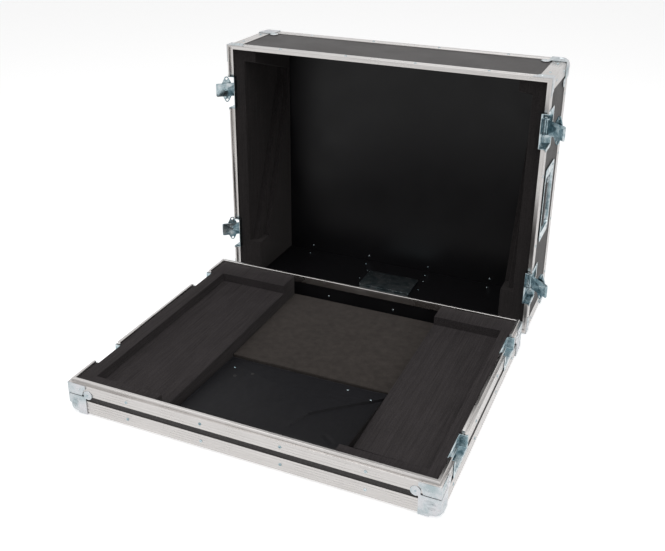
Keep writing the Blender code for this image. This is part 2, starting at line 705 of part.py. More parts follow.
def make_bail():
    # Folded pose about the pivot line: the arms run along +Z towards the mouth
    bend = BAIL_BEND
    run = BAIL_ARM
    half = BAIL_HALF_WIDTH
    corners = [((-half + bend, bend), math.pi * 1.5, math.pi),
               ((-half + bend, run - bend), math.pi, math.pi / 2),
               ((half - bend, run - bend), math.pi / 2, 0.0),
               ((half - bend, bend), 0.0, -math.pi / 2)]
    arc = []
    for centre, first, last in corners:
        for i in range(4):
            angle = first + (last - first) * i / 3
            arc.append((0.0, centre[0] + bend * math.cos(angle), centre[1] + bend * math.sin(angle)))
    points = [(0.0, -BAIL_STUB_END, 0.0)] + arc[1:-1] + [(0.0, BAIL_STUB_END, 0.0)]
    curve = bpy.data.curves.new("bail", "CURVE")
    curve.dimensions = "3D"
    curve.bevel_depth = BAIL_ROD_RADIUS
    curve.bevel_resolution = 2
    curve.use_fill_caps = True
    spline = curve.splines.new("POLY")
    spline.points.add(len(points) - 1)
    for point, place in zip(spline.points, points):
        point.co = (*place, 1.0)
    guide = bpy.data.objects.new("bail_guide", curve)
    parts.objects.link(guide)
    graph = bpy.context.evaluated_depsgraph_get()
    mesh = bpy.data.meshes.new_from_object(guide.evaluated_get(graph))
    bpy.data.objects.remove(guide, do_unlink=True)
    bm = bmesh.new()
    bm.from_mesh(mesh)
    bmesh.ops.remove_doubles(bm, verts=bm.verts[:], dist=1e-6)
    bail = add_object("bail", bm)
    bm = box_bmesh((BAIL_PIVOT_RECESS - GRIP_BOTTOM, -GRIP_LENGTH / 2, BAIL_ARM - GRIP_WIDTH / 2),
                   (BAIL_PIVOT_RECESS + GRIP_TOP, GRIP_LENGTH / 2, BAIL_ARM + GRIP_WIDTH / 2))
    edges = [e for e in bm.edges if abs((e.verts[1].co - e.verts[0].co).y) > 1e-6]
    bmesh.ops.bevel(bm, geom=edges, offset=GRIP_CORNER, segments=3, profile=0.5, affect="EDGES")
    grip = add_object("grip", bm)
    return combine(bail, [grip], "UNION")


def place_latches(lid, materials):
    dish = make_latch_dish(LID_DEPTH, FLANGE_DEPTH, TUB_DEPTH, False)
    hook = make_hook()
    butterfly = make_butterfly()
    for side, sign in (("left", -1), ("right", 1)):
        for level, station in latch_stations():
            label = "%s_%s" % ("lower" if level == "low" else "upper", side)
            placed = flipped_copy(dish, "latch_dish_" + label, (sign, 1, 1), (0.0, station, 0.0), lid)
            placed.data.materials.append(materials["zinc"])
            pivot = Vector((sign * (HALF_WIDTH - HOOK_PIVOT_RECESS), station, LID_DEPTH - HOOK_PIVOT_INSET))
            turn = Matrix.Rotation(sign * HOOK_OPEN_ANGLE, 4, "Y")
            pivot_frame = make_frame("hook_pivot_" + label, lid, Matrix.Translation(pivot) @ turn)
            plate = flipped_copy(hook, "latch_hook_" + label, (sign, 1, 1), frame=pivot_frame)
            plate.data.materials.append(materials["zinc"])
            spindle = Matrix.Translation((0.0, 0.0, SPINDLE_DISTANCE))
            spindle_frame = make_frame("spindle_" + label, pivot_frame, spindle)
            wing = flipped_copy(butterfly, "latch_butterfly_" + label, (sign, 1, 1), frame=spindle_frame)
            wing.data.materials.append(materials["zinc"])
    for master in (dish, hook, butterfly):
        bpy.data.objects.remove(master, do_unlink=True)


def place_keepers(tray, materials):
    dish = make_latch_dish(TRAY_DEPTH, KEEPER_FLANGE_DEPTH, KEEPER_TUB_DEPTH, True)
    for side, sign in (("left", -1), ("right", 1)):
        for level, station in latch_stations():
            label = "%s_%s" % ("front" if level == "low" else "rear", side)
            placed = flipped_copy(dish, "keeper_" + label, (sign, 1, 1), (0.0, station, 0.0), tray)
            placed.data.materials.append(materials["zinc"])
    bpy.data.objects.remove(dish, do_unlink=True)


def place_handles(lid, materials):
    # Wall frames: X out of the wall, Y along the grip, Z towards the mouth
    dish = make_handle_dish()
    bail = make_bail()
    station = LID_DEPTH - HANDLE_FROM_MOUTH
    middle = CASE_LENGTH / 2
    places = {
        "right": Matrix(((1, 0, 0, HALF_WIDTH), (0, 1, 0, middle), (0, 0, 1, station), (0, 0, 0, 1))),
        "left": Matrix(((-1, 0, 0, -HALF_WIDTH), (0, -1, 0, middle), (0, 0, 1, station), (0, 0, 0, 1))),
        "bottom": Matrix(((0, 1, 0, BOTTOM_HANDLE_X), (-1, 0, 0, 0.0), (0, 0, 1, station), (0, 0, 0, 1))),
    }
    for name, matrix in places.items():
        wall_frame = make_frame("handle_frame_" + name, lid, matrix)
        placed = flipped_copy(dish, "handle_dish_" + name, (1, 1, 1), frame=wall_frame)
        placed.data.materials.append(materials["zinc"])
        pivot = Matrix.Translation((-BAIL_PIVOT_RECESS, 0.0, handle_pivot_offset()))
        pivot_frame = make_frame("handle_pivot_" + name, wall_frame, pivot)
        moving = flipped_copy(bail, "handle_bail_" + name, (1, 1, 1), frame=pivot_frame)
        moving.data.materials.append(materials["rubber"])
    for master in (dish, bail):
        bpy.data.objects.remove(master, do_unlink=True)


def open_walls(tray_panels, lid_panels, tray, lid):
    # Cut-outs in the short walls for dishes and keepers, and in the bottom wall for its handle
    margin = DISH_SHEET + GAP
    half = TUB_LENGTH / 2 + margin
    for side, sign in (("left", -1), ("right", 1)):
        xs = sorted((sign * (HALF_WIDTH - 0.03), sign * (HALF_WIDTH + 0.01)))
        for level, station in latch_stations():
            cut_wall(tray_panels[side], (xs[0], station - half, TRAY_DEPTH - KEEPER_TUB_DEPTH - margin),
                     (xs[1], station + half, TRAY_DEPTH + 0.02), tray)
            cut_wall(lid_panels[side], (xs[0], station - half, LID_DEPTH - TUB_DEPTH - margin),
                     (xs[1], station + half, LID_DEPTH + 0.02), lid)
        reach_l = HANDLE_TUB[0] / 2 + margin
        reach_d = HANDLE_TUB[1] / 2 + margin
        middle = CASE_LENGTH / 2
        station_d = LID_DEPTH - HANDLE_FROM_MOUTH
        cut_wall(lid_panels[side], (xs[0], middle - reach_l, station_d - reach_d),
                 (xs[1], middle + reach_l, station_d + reach_d), lid)
    cut_wall(lid_panels["low"], (BOTTOM_HANDLE_X - reach_l, -0.01, station_d - reach_d),
             (BOTTOM_HANDLE_X + reach_l, 0.03, station_d + reach_d), lid)


def make_tray_foam(tray, materials):
    top = FOAM_TOP
    low = PLY_IN + GAP
    far = CASE_LENGTH - FOAM_INSET
    outer = HALF_WIDTH - FOAM_INSET
    past = 0.02
    left = box("tray_foam_left", (-outer, FOAM_INSET, low), (LEFT_BLOCK_EDGE, far, top),
               materials["foam"], tray)
    well = box("well", (-HALF_WIDTH + LEFT_STRIP, FRONT_STRIP, PLATFORM_TOP),
               (LEFT_BLOCK_EDGE + past, CASE_LENGTH - LEFT_REAR_STRIP, top + past), None, tray)
    step = box("step", (LEFT_FRONT_STRIP_END, 0.0, PLATFORM_TOP),
               (LEFT_BLOCK_EDGE + past, 2 * FRONT_STRIP, top + past), None, tray)
    combine(left, [well, step], "DIFFERENCE")
    right = box("tray_foam_right", (RIGHT_BLOCK_EDGE, FOAM_INSET, low), (outer, far, top),
                materials["foam"], tray)
    well = box("well", (RIGHT_BLOCK_EDGE - past, FRONT_STRIP, PLATFORM_TOP),
               (HALF_WIDTH - RIGHT_STRIP, CASE_LENGTH - RIGHT_REAR_STRIP, top + past), None, tray)
    combine(right, [well], "DIFFERENCE")
    end = box("strip_end", (RIGHT_FRONT_STRIP_END, FOAM_INSET, low),
              (RIGHT_BLOCK_EDGE + past, FRONT_STRIP, top), None, tray)
    combine(right, [end], "UNION")
    for block, sign in ((left, -1), (right, 1)):
        combine(block, latch_notches(sign, TRAY_DEPTH - KEEPER_TUB_DEPTH, top + past, tray), "DIFFERENCE")
    box("tray_pad", (LEFT_BLOCK_EDGE + SOFT_GAP, POCKET_REAR + SOFT_GAP, low),
        (RIGHT_BLOCK_EDGE - SOFT_GAP, far, PAD_TOP), materials["pad"], tray, corner=0.002, along=0)


def latch_notches(sign, tub_low, top, frame):
    # Room in the foam for the tubs that come through one short wall
    clear = DISH_SHEET + NOTCH_CLEARANCE
    half = TUB_LENGTH / 2 + clear
    ends = sorted((sign * (HALF_WIDTH - TUB_RECESS - clear), sign * (HALF_WIDTH + 0.01)))
    notches = []
    for level, station in latch_stations():
        notches.append(box("notch", (ends[0], station - half, tub_low - clear), (ends[1], station + half, top),
                           None, frame))
    return notches


def pocket_height(u, v):
    # Height of the cloth over the tray floor; u runs left to right and v front to rear
    rise = POCKET_RISE * (1.0 - v) ** 0.8
    crown = POCKET_CROWN * math.sin(math.pi * min(max(u, 0.0), 1.0)) * math.sin(math.pi * min(max(v, 0.0), 1.0))
    fold = 0.0
    if u > POCKET_FOLD_START:
        along = (u - POCKET_FOLD_START) / (1.0 - POCKET_FOLD_START)
        fold_line = 0.02 + 0.95 * along ** 0.7
        fold = -POCKET_FOLD_DIP * math.exp(-((v - fold_line) / POCKET_FOLD_WIDTH) ** 2)
    ends = min(1.0, u / 0.05, (1.0 - u) / 0.05) ** 0.5
    return POCKET_HEM + max(0.0, rise + crown + fold) * (0.45 + 0.55 * ends)


def make_pocket(tray, materials):
    # Cloth over the front of the middle well, as one closed form with its crown and main fold
    low = PLY_IN + GAP
    columns = 20
    rows = 14
    x0 = LEFT_BLOCK_EDGE + SOFT_GAP
    x1 = RIGHT_BLOCK_EDGE - SOFT_GAP
    y0 = FOAM_INSET
    y1 = POCKET_REAR
    bm = bmesh.new()
    bmesh.ops.create_grid(bm, x_segments=columns, y_segments=rows, size=0.5)
    for vert in bm.verts:
        u = vert.co.x + 0.5
        v = vert.co.y + 0.5
        vert.co = (x0 + (x1 - x0) * u, y0 + (y1 - y0) * v, low + pocket_height(u, v))
    rim = [e for e in bm.edges if e.is_boundary]
    result = bmesh.ops.extrude_edge_only(bm, edges=rim)
    lower = [v for v in result["geom"] if isinstance(v, bmesh.types.BMVert)]
    for vert in lower:
        vert.co.z = low
    bmesh.ops.holes_fill(bm, edges=[e for e in bm.edges if e.is_boundary], sides=0)
    pocket = add_object("cable_pocket", bm, materials["cloth"], tray)
    strip_room = box("strip_room", (RIGHT_FRONT_STRIP_END - SOFT_GAP, 0.0, 0.0),
                     (RIGHT_BLOCK_EDGE, FRONT_STRIP + SOFT_GAP, FOAM_TOP), None, tray)
    combine(pocket, [strip_room], "DIFFERENCE")


def liner_recess(foot, slope):
    # One level of the recess, in (length, depth) coordinates, from the mouth back
    mouth = LID_DEPTH + 0.01
    top = CASE_LENGTH - LINER_TOP_BLOCK
    back = LID_DEPTH - LINER_RECESS_BACK
    return [(LINER_BOTTOM_BLOCK, mouth), (LINER_BOTTOM_BLOCK, LID_DEPTH - foot),
            (LINER_BOTTOM_BLOCK + (LINER_RECESS_BACK - foot) / slope, back),
            (top - LINER_TOP_LEAN * LINER_RECESS_BACK, back), (top, LID_DEPTH), (top, mouth)]


def make_liners(lid, materials):
    low = PLY_IN + GAP
    high = LID_DEPTH - LINER_MOUTH_INSET
    face = HALF_WIDTH - LINER_THICKNESS
    levels = ((LINER_FIRST_STEP, LINER_LEDGE_FOOT, LINER_LEDGE_SLOPE),
              (LINER_RECESS, LINER_DEEP_FOOT, LINER_DEEP_SLOPE))
    for side, sign in (("left", -1), ("right", 1)):
        xs = sorted((sign * face, sign * (HALF_WIDTH - FOAM_INSET)))
        liner = box("lid_foam_" + side, (xs[0], FOAM_INSET, low), (xs[1], CASE_LENGTH - FOAM_INSET, high),
                    materials["foam"], lid)
        for cut_depth, foot, slope in levels:
            bounds = sorted((sign * (face - 0.01), sign * (face + cut_depth)))
            cut = outline_solid("recess", liner_recess(foot, slope), bounds[0], bounds[1], (1, 2, 0), None, lid)
            combine(liner, [cut], "DIFFERENCE")
        combine(liner, latch_notches(sign, LID_DEPTH - TUB_DEPTH, LID_DEPTH, lid), "DIFFERENCE")
        clear = DISH_SHEET + NOTCH_CLEARANCE
        reach_l = HANDLE_TUB[0] / 2 + clear
        reach_d = HANDLE_TUB[1] / 2 + clear
        middle = CASE_LENGTH / 2
        station_d = LID_DEPTH - HANDLE_FROM_MOUTH
        ends = sorted((sign * (HALF_WIDTH - HANDLE_RECESS - clear), sign * (HALF_WIDTH + 0.01)))
        notch = box("notch", (ends[0], middle - reach_l, station_d - reach_d),
                    (ends[1], middle + reach_l, station_d + reach_d), None, lid)
        combine(liner, [notch], "DIFFERENCE")


def place_ball_corners(frames, zinc):
    master = make_ball_corner()
    names = {"tray": {"low": "front", "high": "rear"}, "lid": {"low": "bottom", "high": "top"}}
    for half, frame in frames.items():
        for name, flips, move in corner_signs():
            side, level = name.split("_")
            label = "%s_corner_%s_%s" % (half, names[half][level], side)
            piece = flipped_copy(master, label, flips, move, frame)
            piece.data.materials.append(zinc)
            piece.data.shade_smooth()
            piece.data.set_sharp_from_angle(angle=math.radians(35))
    bpy.data.objects.remove(master, do_unlink=True)


def main():
    clear_scene()
    materials = make_materials()
    tray = make_frame("tray_frame", None, Matrix.Translation((0.0, TRAY_FRONT_Y, BALL_PROUD)))
    stand = Matrix.Translation((0.0, LID_BACK_Y, BALL_PROUD)) @ Matrix.Rotation(math.radians(90), 4, "X")
    lid = make_frame("lid_frame", None, stand)
    tray_panels = make_panels("tray_", ("wall_front", "wall_rear"), TRAY_DEPTH, METAL, tray, materials["ply"])
    ply_edge = SHOULDER + METAL
    lid_panels = make_panels("lid_", ("wall_bottom", "wall_top"), LID_DEPTH, ply_edge, lid, materials["ply"])
    open_walls(tray_panels, lid_panels, tray, lid)
    aluminium = materials["aluminium"]
    edge_frame("tray_edge_frame", tray, aluminium)
    edge_frame("lid_edge_frame", lid, aluminium)
    depth_edges(lid, aluminium)
    mouth_rails("tray_", ("rail_front", "rail_rear"), tongue_rail_outline(), TRAY_DEPTH, tray, aluminium)
    mouth_rails("lid_", ("rail_bottom", "rail_top"), groove_rail_outline(), LID_DEPTH, lid, aluminium)
    place_ball_corners({"tray": tray, "lid": lid}, materials["zinc"])
    place_latches(lid, materials)
    place_keepers(tray, materials)
    place_handles(lid, materials)
    make_tray_foam(tray, materials)
    make_pocket(tray, materials)
    make_liners(lid, materials)
    bpy.context.view_layer.update()


main()
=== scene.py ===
# Looks of the mixer flight case: finishes, foam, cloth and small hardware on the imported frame
import math

import bmesh
import bpy
from mathutils import Matrix, Vector, noise


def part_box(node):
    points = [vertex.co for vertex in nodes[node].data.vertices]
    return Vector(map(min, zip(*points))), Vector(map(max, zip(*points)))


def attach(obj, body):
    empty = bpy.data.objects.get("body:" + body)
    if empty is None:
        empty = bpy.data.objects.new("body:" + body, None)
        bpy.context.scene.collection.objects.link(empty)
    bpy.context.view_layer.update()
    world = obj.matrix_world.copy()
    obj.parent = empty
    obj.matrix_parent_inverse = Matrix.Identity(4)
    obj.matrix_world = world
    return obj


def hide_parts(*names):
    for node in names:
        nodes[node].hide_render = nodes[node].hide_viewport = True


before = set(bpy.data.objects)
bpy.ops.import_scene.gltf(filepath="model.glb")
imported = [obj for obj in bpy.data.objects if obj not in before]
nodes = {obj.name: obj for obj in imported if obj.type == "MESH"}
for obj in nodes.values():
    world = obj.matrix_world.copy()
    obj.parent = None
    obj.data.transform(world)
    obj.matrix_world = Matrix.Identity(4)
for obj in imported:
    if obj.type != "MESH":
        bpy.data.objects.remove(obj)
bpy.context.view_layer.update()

bpy.ops.object.select_all(action="DESELECT")

# the case over its extrusions: half width, and the faces of each half
case = {
    "half": 0.435, "length": 0.684,
    "trayFront": -0.4942, "trayRear": 0.1898, "trayMiddle": -0.1522, "trayMouth": 0.079,
    "lidMouth": 0.2642, "lidBack": 0.4942, "lidMiddle": 0.347,
    "floor": 0.005, "lidTop": 0.689,
}


# modelling helpers

def activate(piece):
    bpy.ops.object.select_all(action="DESELECT")
    piece.select_set(True)
    bpy.context.view_layer.objects.active = piece


def intoEdit(piece, selectAll=False):
    activate(piece)
    bpy.ops.object.mode_set(mode="EDIT")
    if selectAll:
        bpy.ops.mesh.select_all(action="SELECT")


def outOfEdit():
    bpy.ops.object.mode_set(mode="OBJECT")


def editPick(piece, kind, test):
    # in edit mode: select only the faces or edges that pass the test
    work = bmesh.from_edit_mesh(piece.data)
    for part in (work.verts, work.edges, work.faces):
        for item in part:
            item.select = False
    for item in (work.faces if kind == "FACE" else work.edges):
        if test(item):
            item.select_set(True)
    work.select_flush_mode()
    bmesh.update_edit_mesh(piece.data)


def applyAll(piece):
    activate(piece)
    for modifier in list(piece.modifiers):
        bpy.ops.object.modifier_apply(modifier=modifier.name)


def settle(piece):
    # put the piece's place into its mesh
    activate(piece)
    bpy.ops.object.transform_apply(location=True, rotation=True, scale=True)
    return piece


def nameIt(name):
    piece = bpy.context.object
    piece.name = name
    piece.data.name = name
    return settle(piece)


def addBlock(name, low, high):
    low, high = Vector(low), Vector(high)
    bpy.ops.mesh.primitive_cube_add(size=1.0, location=(low + high) / 2, scale=high - low)
    return nameIt(name)


def addDisc(name, radius, low, high, vertices=24):
    bpy.ops.mesh.primitive_cylinder_add(vertices=vertices, radius=radius, depth=high - low,
                                        location=(0, 0, (low + high) / 2))
    return nameIt(name)


def addBall(name, radius, centre, segments):
    bpy.ops.mesh.primitive_uv_sphere_add(segments=segments, ring_count=segments // 2,
                                         radius=radius, location=centre)
    return nameIt(name)


def discard(piece):
    bpy.data.objects.remove(piece, do_unlink=True)


def addModifier(piece, kind, **settings):
    modifier = piece.modifiers.new(kind.lower(), kind)
    for name, value in settings.items():
        setattr(modifier, name, value)


def combineWith(piece, others, operation):
    for other in others:
        addModifier(piece, "BOOLEAN", operation=operation, solver="EXACT", object=other)
        applyAll(piece)
        discard(other)
    return piece


def roundEdges(piece, width, segments=2, angle=30):
    addModifier(piece, "BEVEL", width=width, segments=segments, limit_method="ANGLE",
                angle_limit=math.radians(angle))
    applyAll(piece)


def smoothShade(piece, angle=31):
    activate(piece)
    bpy.ops.object.shade_smooth_by_angle(angle=math.radians(angle))


def giveMaterial(piece, material):
    piece.data.materials.clear()
    piece.data.materials.append(material)


def placeOn(piece, body, material=None):
    if material:
        giveMaterial(piece, material)
    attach(piece, body)
    return piece


def linkPiece(name, data):
    piece = bpy.data.objects.new(name, data)
    data.name = name
    bpy.context.scene.collection.objects.link(piece)
    return piece


def copyTo(master, name, matrix):
    # a copy with its own mesh, its place in the mesh; mirrored copies are turned right side out
    piece = linkPiece(name, master.data.copy())
    piece.data.transform(matrix)
    if matrix.to_3x3().determinant() < 0:
        piece.data.flip_normals()
    return piece


def joinAll(pieces, name):
    activate(pieces[0])
    for piece in pieces:
        piece.select_set(True)
    bpy.ops.object.join()
    return nameIt(name)


def addOutline(name, points, low, high, turn=0):
    # a flat outline extruded along x (turn 0), y (turn 1) or z (turn 2)
    def place(across, along, depth):
        spot = (depth, across, along)
        return Vector(spot[-turn:] + spot[:-turn]) if turn else Vector(spot)
    mesh = bpy.data.meshes.new(name)
    work = bmesh.new()
    work.faces.new([work.verts.new(place(a, b, low)) for a, b in points])
    work.to_mesh(mesh)
    work.free()
    piece = linkPiece(name, mesh)
    intoEdit(piece, True)
    bpy.ops.mesh.extrude_region_move(TRANSFORM_OT_translate={"value": place(0, 0, high - low)})
    bpy.ops.mesh.select_all(action="SELECT")
    bpy.ops.mesh.normals_make_consistent(inside=False)
    outOfEdit()
    return piece


def tubeAlong(name, points, radius, sides=3):
    # a round rod or wire along a row of points
    curve = bpy.data.curves.new(name, "CURVE")
    curve.dimensions = "3D"
    curve.bevel_depth = radius
    curve.bevel_resolution = sides
    curve.use_fill_caps = True
    spline = curve.splines.new("POLY")
    spline.points.add(len(points) - 1)
    for point, spot in zip(spline.points, points):
        point.co = (*spot, 1.0)
    activate(linkPiece(name, curve))
    bpy.ops.object.convert(target="MESH")
    return bpy.context.object


def mergedCopy(nodeName, name, width=0.0004, segments=2, angle=60, finishOf=None, finishes=None):
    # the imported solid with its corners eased; finishOf picks one of the finishes for each face
    piece = linkPiece(name, nodes[nodeName].data.copy())
    piece.data.materials.clear()
    for material in finishes or []:
        piece.data.materials.append(material)
    activate(piece)
    bpy.ops.mesh.customdata_custom_splitnormals_clear()
    intoEdit(piece, True)
    bpy.ops.mesh.remove_doubles(threshold=0.00001)
    outOfEdit()
    for face in piece.data.polygons:
        face.material_index = finishOf(face.center) if finishOf else 0
    intoEdit(piece, True)
    bpy.ops.mesh.dissolve_limited(angle_limit=math.radians(1.0), delimit={"MATERIAL"})
    outOfEdit()
    if width:
        roundEdges(piece, width, segments, angle)
    smoothShade(piece)
    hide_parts(nodeName)
    return piece


# finishes

class Bench:
    # one material being wired: short calls for the nodes this case needs

    def __init__(self, name):
        self.material = bpy.data.materials.new(name)
        self.material.use_nodes = True
        self.tree = self.material.node_tree
        self.shader = self.tree.nodes["Principled BSDF"]
        self.coords = self.add("TexCoord")

    def add(self, kind):
        return self.tree.nodes.new("ShaderNode" + kind)

    def link(self, output, target):
        self.tree.links.new(output, target)

    def feed(self, name, output):
        self.link(output, self.shader.inputs[name])

    def setValues(self, values):
        for name, value in values.items():
            self.shader.inputs[name].default_value = value

    def stretch(self, scale):
        node = self.add("Mapping")
        node.inputs["Scale"].default_value = scale
        self.link(self.coords.outputs["Object"], node.inputs["Vector"])
        return node.outputs["Vector"]

    def noise(self, scale, detail, rough, vector=None):
        node = self.add("TexNoise")
        node.inputs["Scale"].default_value = scale
        node.inputs["Detail"].default_value = detail
        node.inputs["Roughness"].default_value = rough
        self.link(vector or self.coords.outputs["Object"], node.inputs["Vector"])
        return node.outputs["Fac"]

    def ramp(self, value, look):
        # the look's colors, each at its own stop
        node = self.add("ValToRGB")
        ramp = node.color_ramp
        while len(ramp.elements) < len(look["stops"]):
            ramp.elements.new(0.5)
        for element, place, color in zip(ramp.elements, look["stops"], look["colors"]):
            element.position = place
            element.color = (*color, 1.0)
        self.link(value, node.inputs["Fac"])
        return node.outputs["Color"]

    def spread(self, value, low, high):
        # noise, which mostly lies between 0.3 and 0.7, spread over low to high
        node = self.add("MapRange")
        for name, number in zip(("From Min", "From Max", "To Min", "To Max"), (0.3, 0.7, low, high)):
            node.inputs[name].default_value = number
        self.link(value, node.inputs["Value"])
        return node.outputs["Result"]

    def math(self, operation, first, second):
        node = self.add("Math")
        node.operation = operation
        for socket, value in zip(node.inputs, (first, second)):
            if isinstance(value, float):
                socket.default_value = value
            else:
                self.link(value, socket)
        return node.outputs["Value"]

    def sumOf(self, parts):
        # the outputs added up, each times its share
        total = None
        for output, share in parts:
            scaled = self.math("MULTIPLY", output, share)
            total = self.math("ADD", total, scaled) if total else scaled
        return total

    def mix(self, share, color, output):
        # the plain color where share is 0, the output where it is 1; sockets 6 and 7 are the color pair
        node = self.add("Mix")
        node.data_type = "RGBA"
        self.link(share, node.inputs["Factor"])
        node.inputs[6].default_value = (*color, 1.0)
        self.link(output, node.inputs[7])
        return node.outputs[2]

    def along(self, output, axis):
        node = self.add("SeparateXYZ")
        self.link(output, node.inputs["Vector"])
        return node.outputs[axis]

    def bump(self, height, distance, strength):
        node = self.add("Bump")
        node.inputs["Strength"].default_value = strength
        node.inputs["Distance"].default_value = distance
        self.link(height, node.inputs["Height"])
        self.feed("Normal", node.outputs["Normal"])


# in every look a noise is its scale, detail and roughness, and a bump is its depth and strength

plyLook = {
    "pebble": (620.0, 3.0, 0.6), "cloud": (14.0, 3.0, 0.5), "bump": (0.0006, 0.7),
    "stops": (0.36, 0.66), "colors": ((0.022, 0.020, 0.020), (0.088, 0.082, 0.081)),
    "inner": (0.0040, 0.0038, 0.0046), "rough": (0.34, 0.42), "outerDull": 0.18,
    "shader": {"Specular IOR Level": 0.24},
}


def makePly(name, axis, sign):
    # laminated ply: pebbled outside, smooth satin inside, told apart by the face's own normal
    bench = Bench(name)
    facing = bench.along(bench.coords.outputs["Normal"], axis)
    outside = bench.math("GREATER_THAN", bench.math("MULTIPLY", facing, float(sign)), 0.5)
    pebble = bench.noise(*plyLook["pebble"])
    cloud = bench.noise(*plyLook["cloud"])
    outer = bench.ramp(pebble, plyLook)
    bench.feed("Base Color", bench.mix(outside, plyLook["inner"], outer))
    dull = bench.math("MULTIPLY", outside, plyLook["outerDull"])
    satin = bench.spread(cloud, *plyLook["rough"])
    bench.feed("Roughness", bench.math("ADD", satin, dull))
    bench.setValues(plyLook["shader"])
    bench.bump(bench.math("MULTIPLY", pebble, outside), *plyLook["bump"])
    return bench.material


extrusionLook = {
    "lines": (1.0, 3.0, 0.65), "lineShare": 0.6, "smudges": (9.0, 3.0, 0.55), "smudgeShare": 0.4,
    "stops": (0.32, 0.66), "colors": ((0.46, 0.443, 0.432), (0.62, 0.600, 0.588)),
    "rough": (0.22, 0.36), "bump": (0.00008, 0.6), "shader": {"Metallic": 1.0},
}


def makeExtrusion(name, stretch):
    # drawn aluminium: long die lines along the bar, soft smudges and a little dulling
    bench, look = Bench(name), extrusionLook
    lines = bench.noise(*look["lines"], bench.stretch(stretch))
    smudge = bench.noise(*look["smudges"])
    tone = bench.sumOf([(lines, look["lineShare"]), (smudge, look["smudgeShare"])])
    bench.feed("Base Color", bench.ramp(tone, look))
    bench.feed("Roughness", bench.spread(smudge, *look["rough"]))
    bench.setValues(look["shader"])
    bench.bump(lines, *look["bump"])
    return bench.material


cornerZinc = {
    "cast": (30.0, 3.0, 0.55), "rough": (0.22, 0.34), "stops": (0.36, 0.50, 0.64),
    "colors": ((0.36, 0.42, 0.44), (0.50, 0.53, 0.55), (0.56, 0.56, 0.58)),   # teal, plain and warm
}
# latch zinc: the blue cast of its plating, with darker teal patches that are painted dark reflections
latchZinc = {
    "cast": (55.0, 3.0, 0.55), "rough": (0.14, 0.24), "stops": (0.36, 0.50, 0.64),
    "colors": ((0.20, 0.28, 0.31), (0.38, 0.46, 0.49), (0.56, 0.61, 0.63)),
}
zincGrain = {"grain": (420.0, 2.0, 0.5), "bump": (0.00006, 0.3), "shader": {"Metallic": 1.0}}


def makeZinc(name, look):
    # bright zinc plate with a blue cast that comes and goes; in the latch zinc the darkest teal patches are
    # painted dark reflections
    bench = Bench(name)
    cast = bench.noise(*look["cast"])
    grain = bench.noise(*zincGrain["grain"])
    bench.feed("Base Color", bench.ramp(cast, look))
    bench.feed("Roughness", bench.spread(grain, *look["rough"]))
    bench.setValues(zincGrain["shader"])
    bench.bump(grain, *zincGrain["bump"])
    return bench.material


foamMix = {
    "lines": (1.0, 2.0, 0.6), "pores": (520.0, 3.0, 0.7), "patches": (16.0, 3.0, 0.55),
    "lineShare": 0.30, "poreShare": 0.60, "patchShare": 0.10,
    "shader": {"Roughness": 0.92, "Specular IOR Level": 0.15, "Sheen Weight": 0.08, "Sheen Roughness": 0.6,
               "Sheen Tint": (1.0, 0.93, 0.90, 1.0)},
}
foamLook = {
    "lineScale": (340.0, 9.0, 340.0), "bump": (0.0008, 0.9), "stops": (0.34, 0.64),
    "colors": ((0.0030, 0.0024, 0.0026), (0.047, 0.0405, 0.0425)),
}
# lid lining: the tray's charcoal foam with lower colors, painted shade for the dim inside of the deep half
shadedLiningLook = {
    "lineScale": (340.0, 340.0, 9.0), "bump": (0.0008, 0.9), "stops": (0.34, 0.64),
    "colors": ((0.0030, 0.0024, 0.0025), (0.029, 0.0250, 0.0255)),
}
padLook = {
    "lineScale": (60.0, 60.0, 60.0), "bump": (0.0004, 0.9), "stops": (0.34, 0.64),
    "colors": ((0.020, 0.0170, 0.0152), (0.056, 0.0475, 0.0425)),
}


def makeFoam(name, look):
    # sawn closed-cell foam: fine pores, and blade lines along its length
    bench, mix = Bench(name), foamMix
    lines = bench.noise(*mix["lines"], bench.stretch(look["lineScale"]))
    pores = bench.noise(*mix["pores"])
    patch = bench.noise(*mix["patches"])
    tone = bench.sumOf([(lines, mix["lineShare"]), (pores, mix["poreShare"]), (patch, mix["patchShare"])])
    bench.feed("Base Color", bench.ramp(tone, look))
    bench.setValues(mix["shader"])
    bench.bump(tone, *look["bump"])
    return bench.material


clothLook = {
    "yarn": (1.0, 1.0, 0.5), "warp": (1900.0, 60.0, 60.0), "weft": (60.0, 1900.0, 60.0),
    "stops": (0.14, 0.40), "colors": ((0.0028, 0.0026, 0.0032), (0.0082, 0.0077, 0.0088)),
    "bump": (0.0003, 0.6),
    "shader": {"Roughness": 0.58, "Specular IOR Level": 0.16, "Sheen Weight": 0.06, "Sheen Roughness": 0.45,
               "Sheen Tint": (0.80, 0.84, 1.0, 1.0)},
}


def makeCloth(name):
    # tight black nylon with a faint cool sheen
    bench, look = Bench(name), clothLook
    warp = bench.noise(*look["yarn"], bench.stretch(look["warp"]))
    weft = bench.noise(*look["yarn"], bench.stretch(look["weft"]))
    weave = bench.math("MULTIPLY", warp, weft)
    bench.feed("Base Color", bench.ramp(weave, look))
    bench.setValues(look["shader"])
    bench.bump(weave, *look["bump"])
    return bench.material


rubberLook = {
    "speck": (700.0, 2.0, 0.5), "bump": (0.0002, 0.4), "shader": {"Roughness": 0.62},
    "stops": (0.3, 0.7), "colors": ((0.010, 0.009, 0.009), (0.026, 0.024, 0.024)),
}


def makeRubber(name):
    bench = Bench(name)
    speck = bench.noise(*rubberLook["speck"])
    bench.feed("Base Color", bench.ramp(speck, rubberLook))
    bench.setValues(rubberLook["shader"])
    bench.bump(speck, *rubberLook["bump"])
    return bench.material


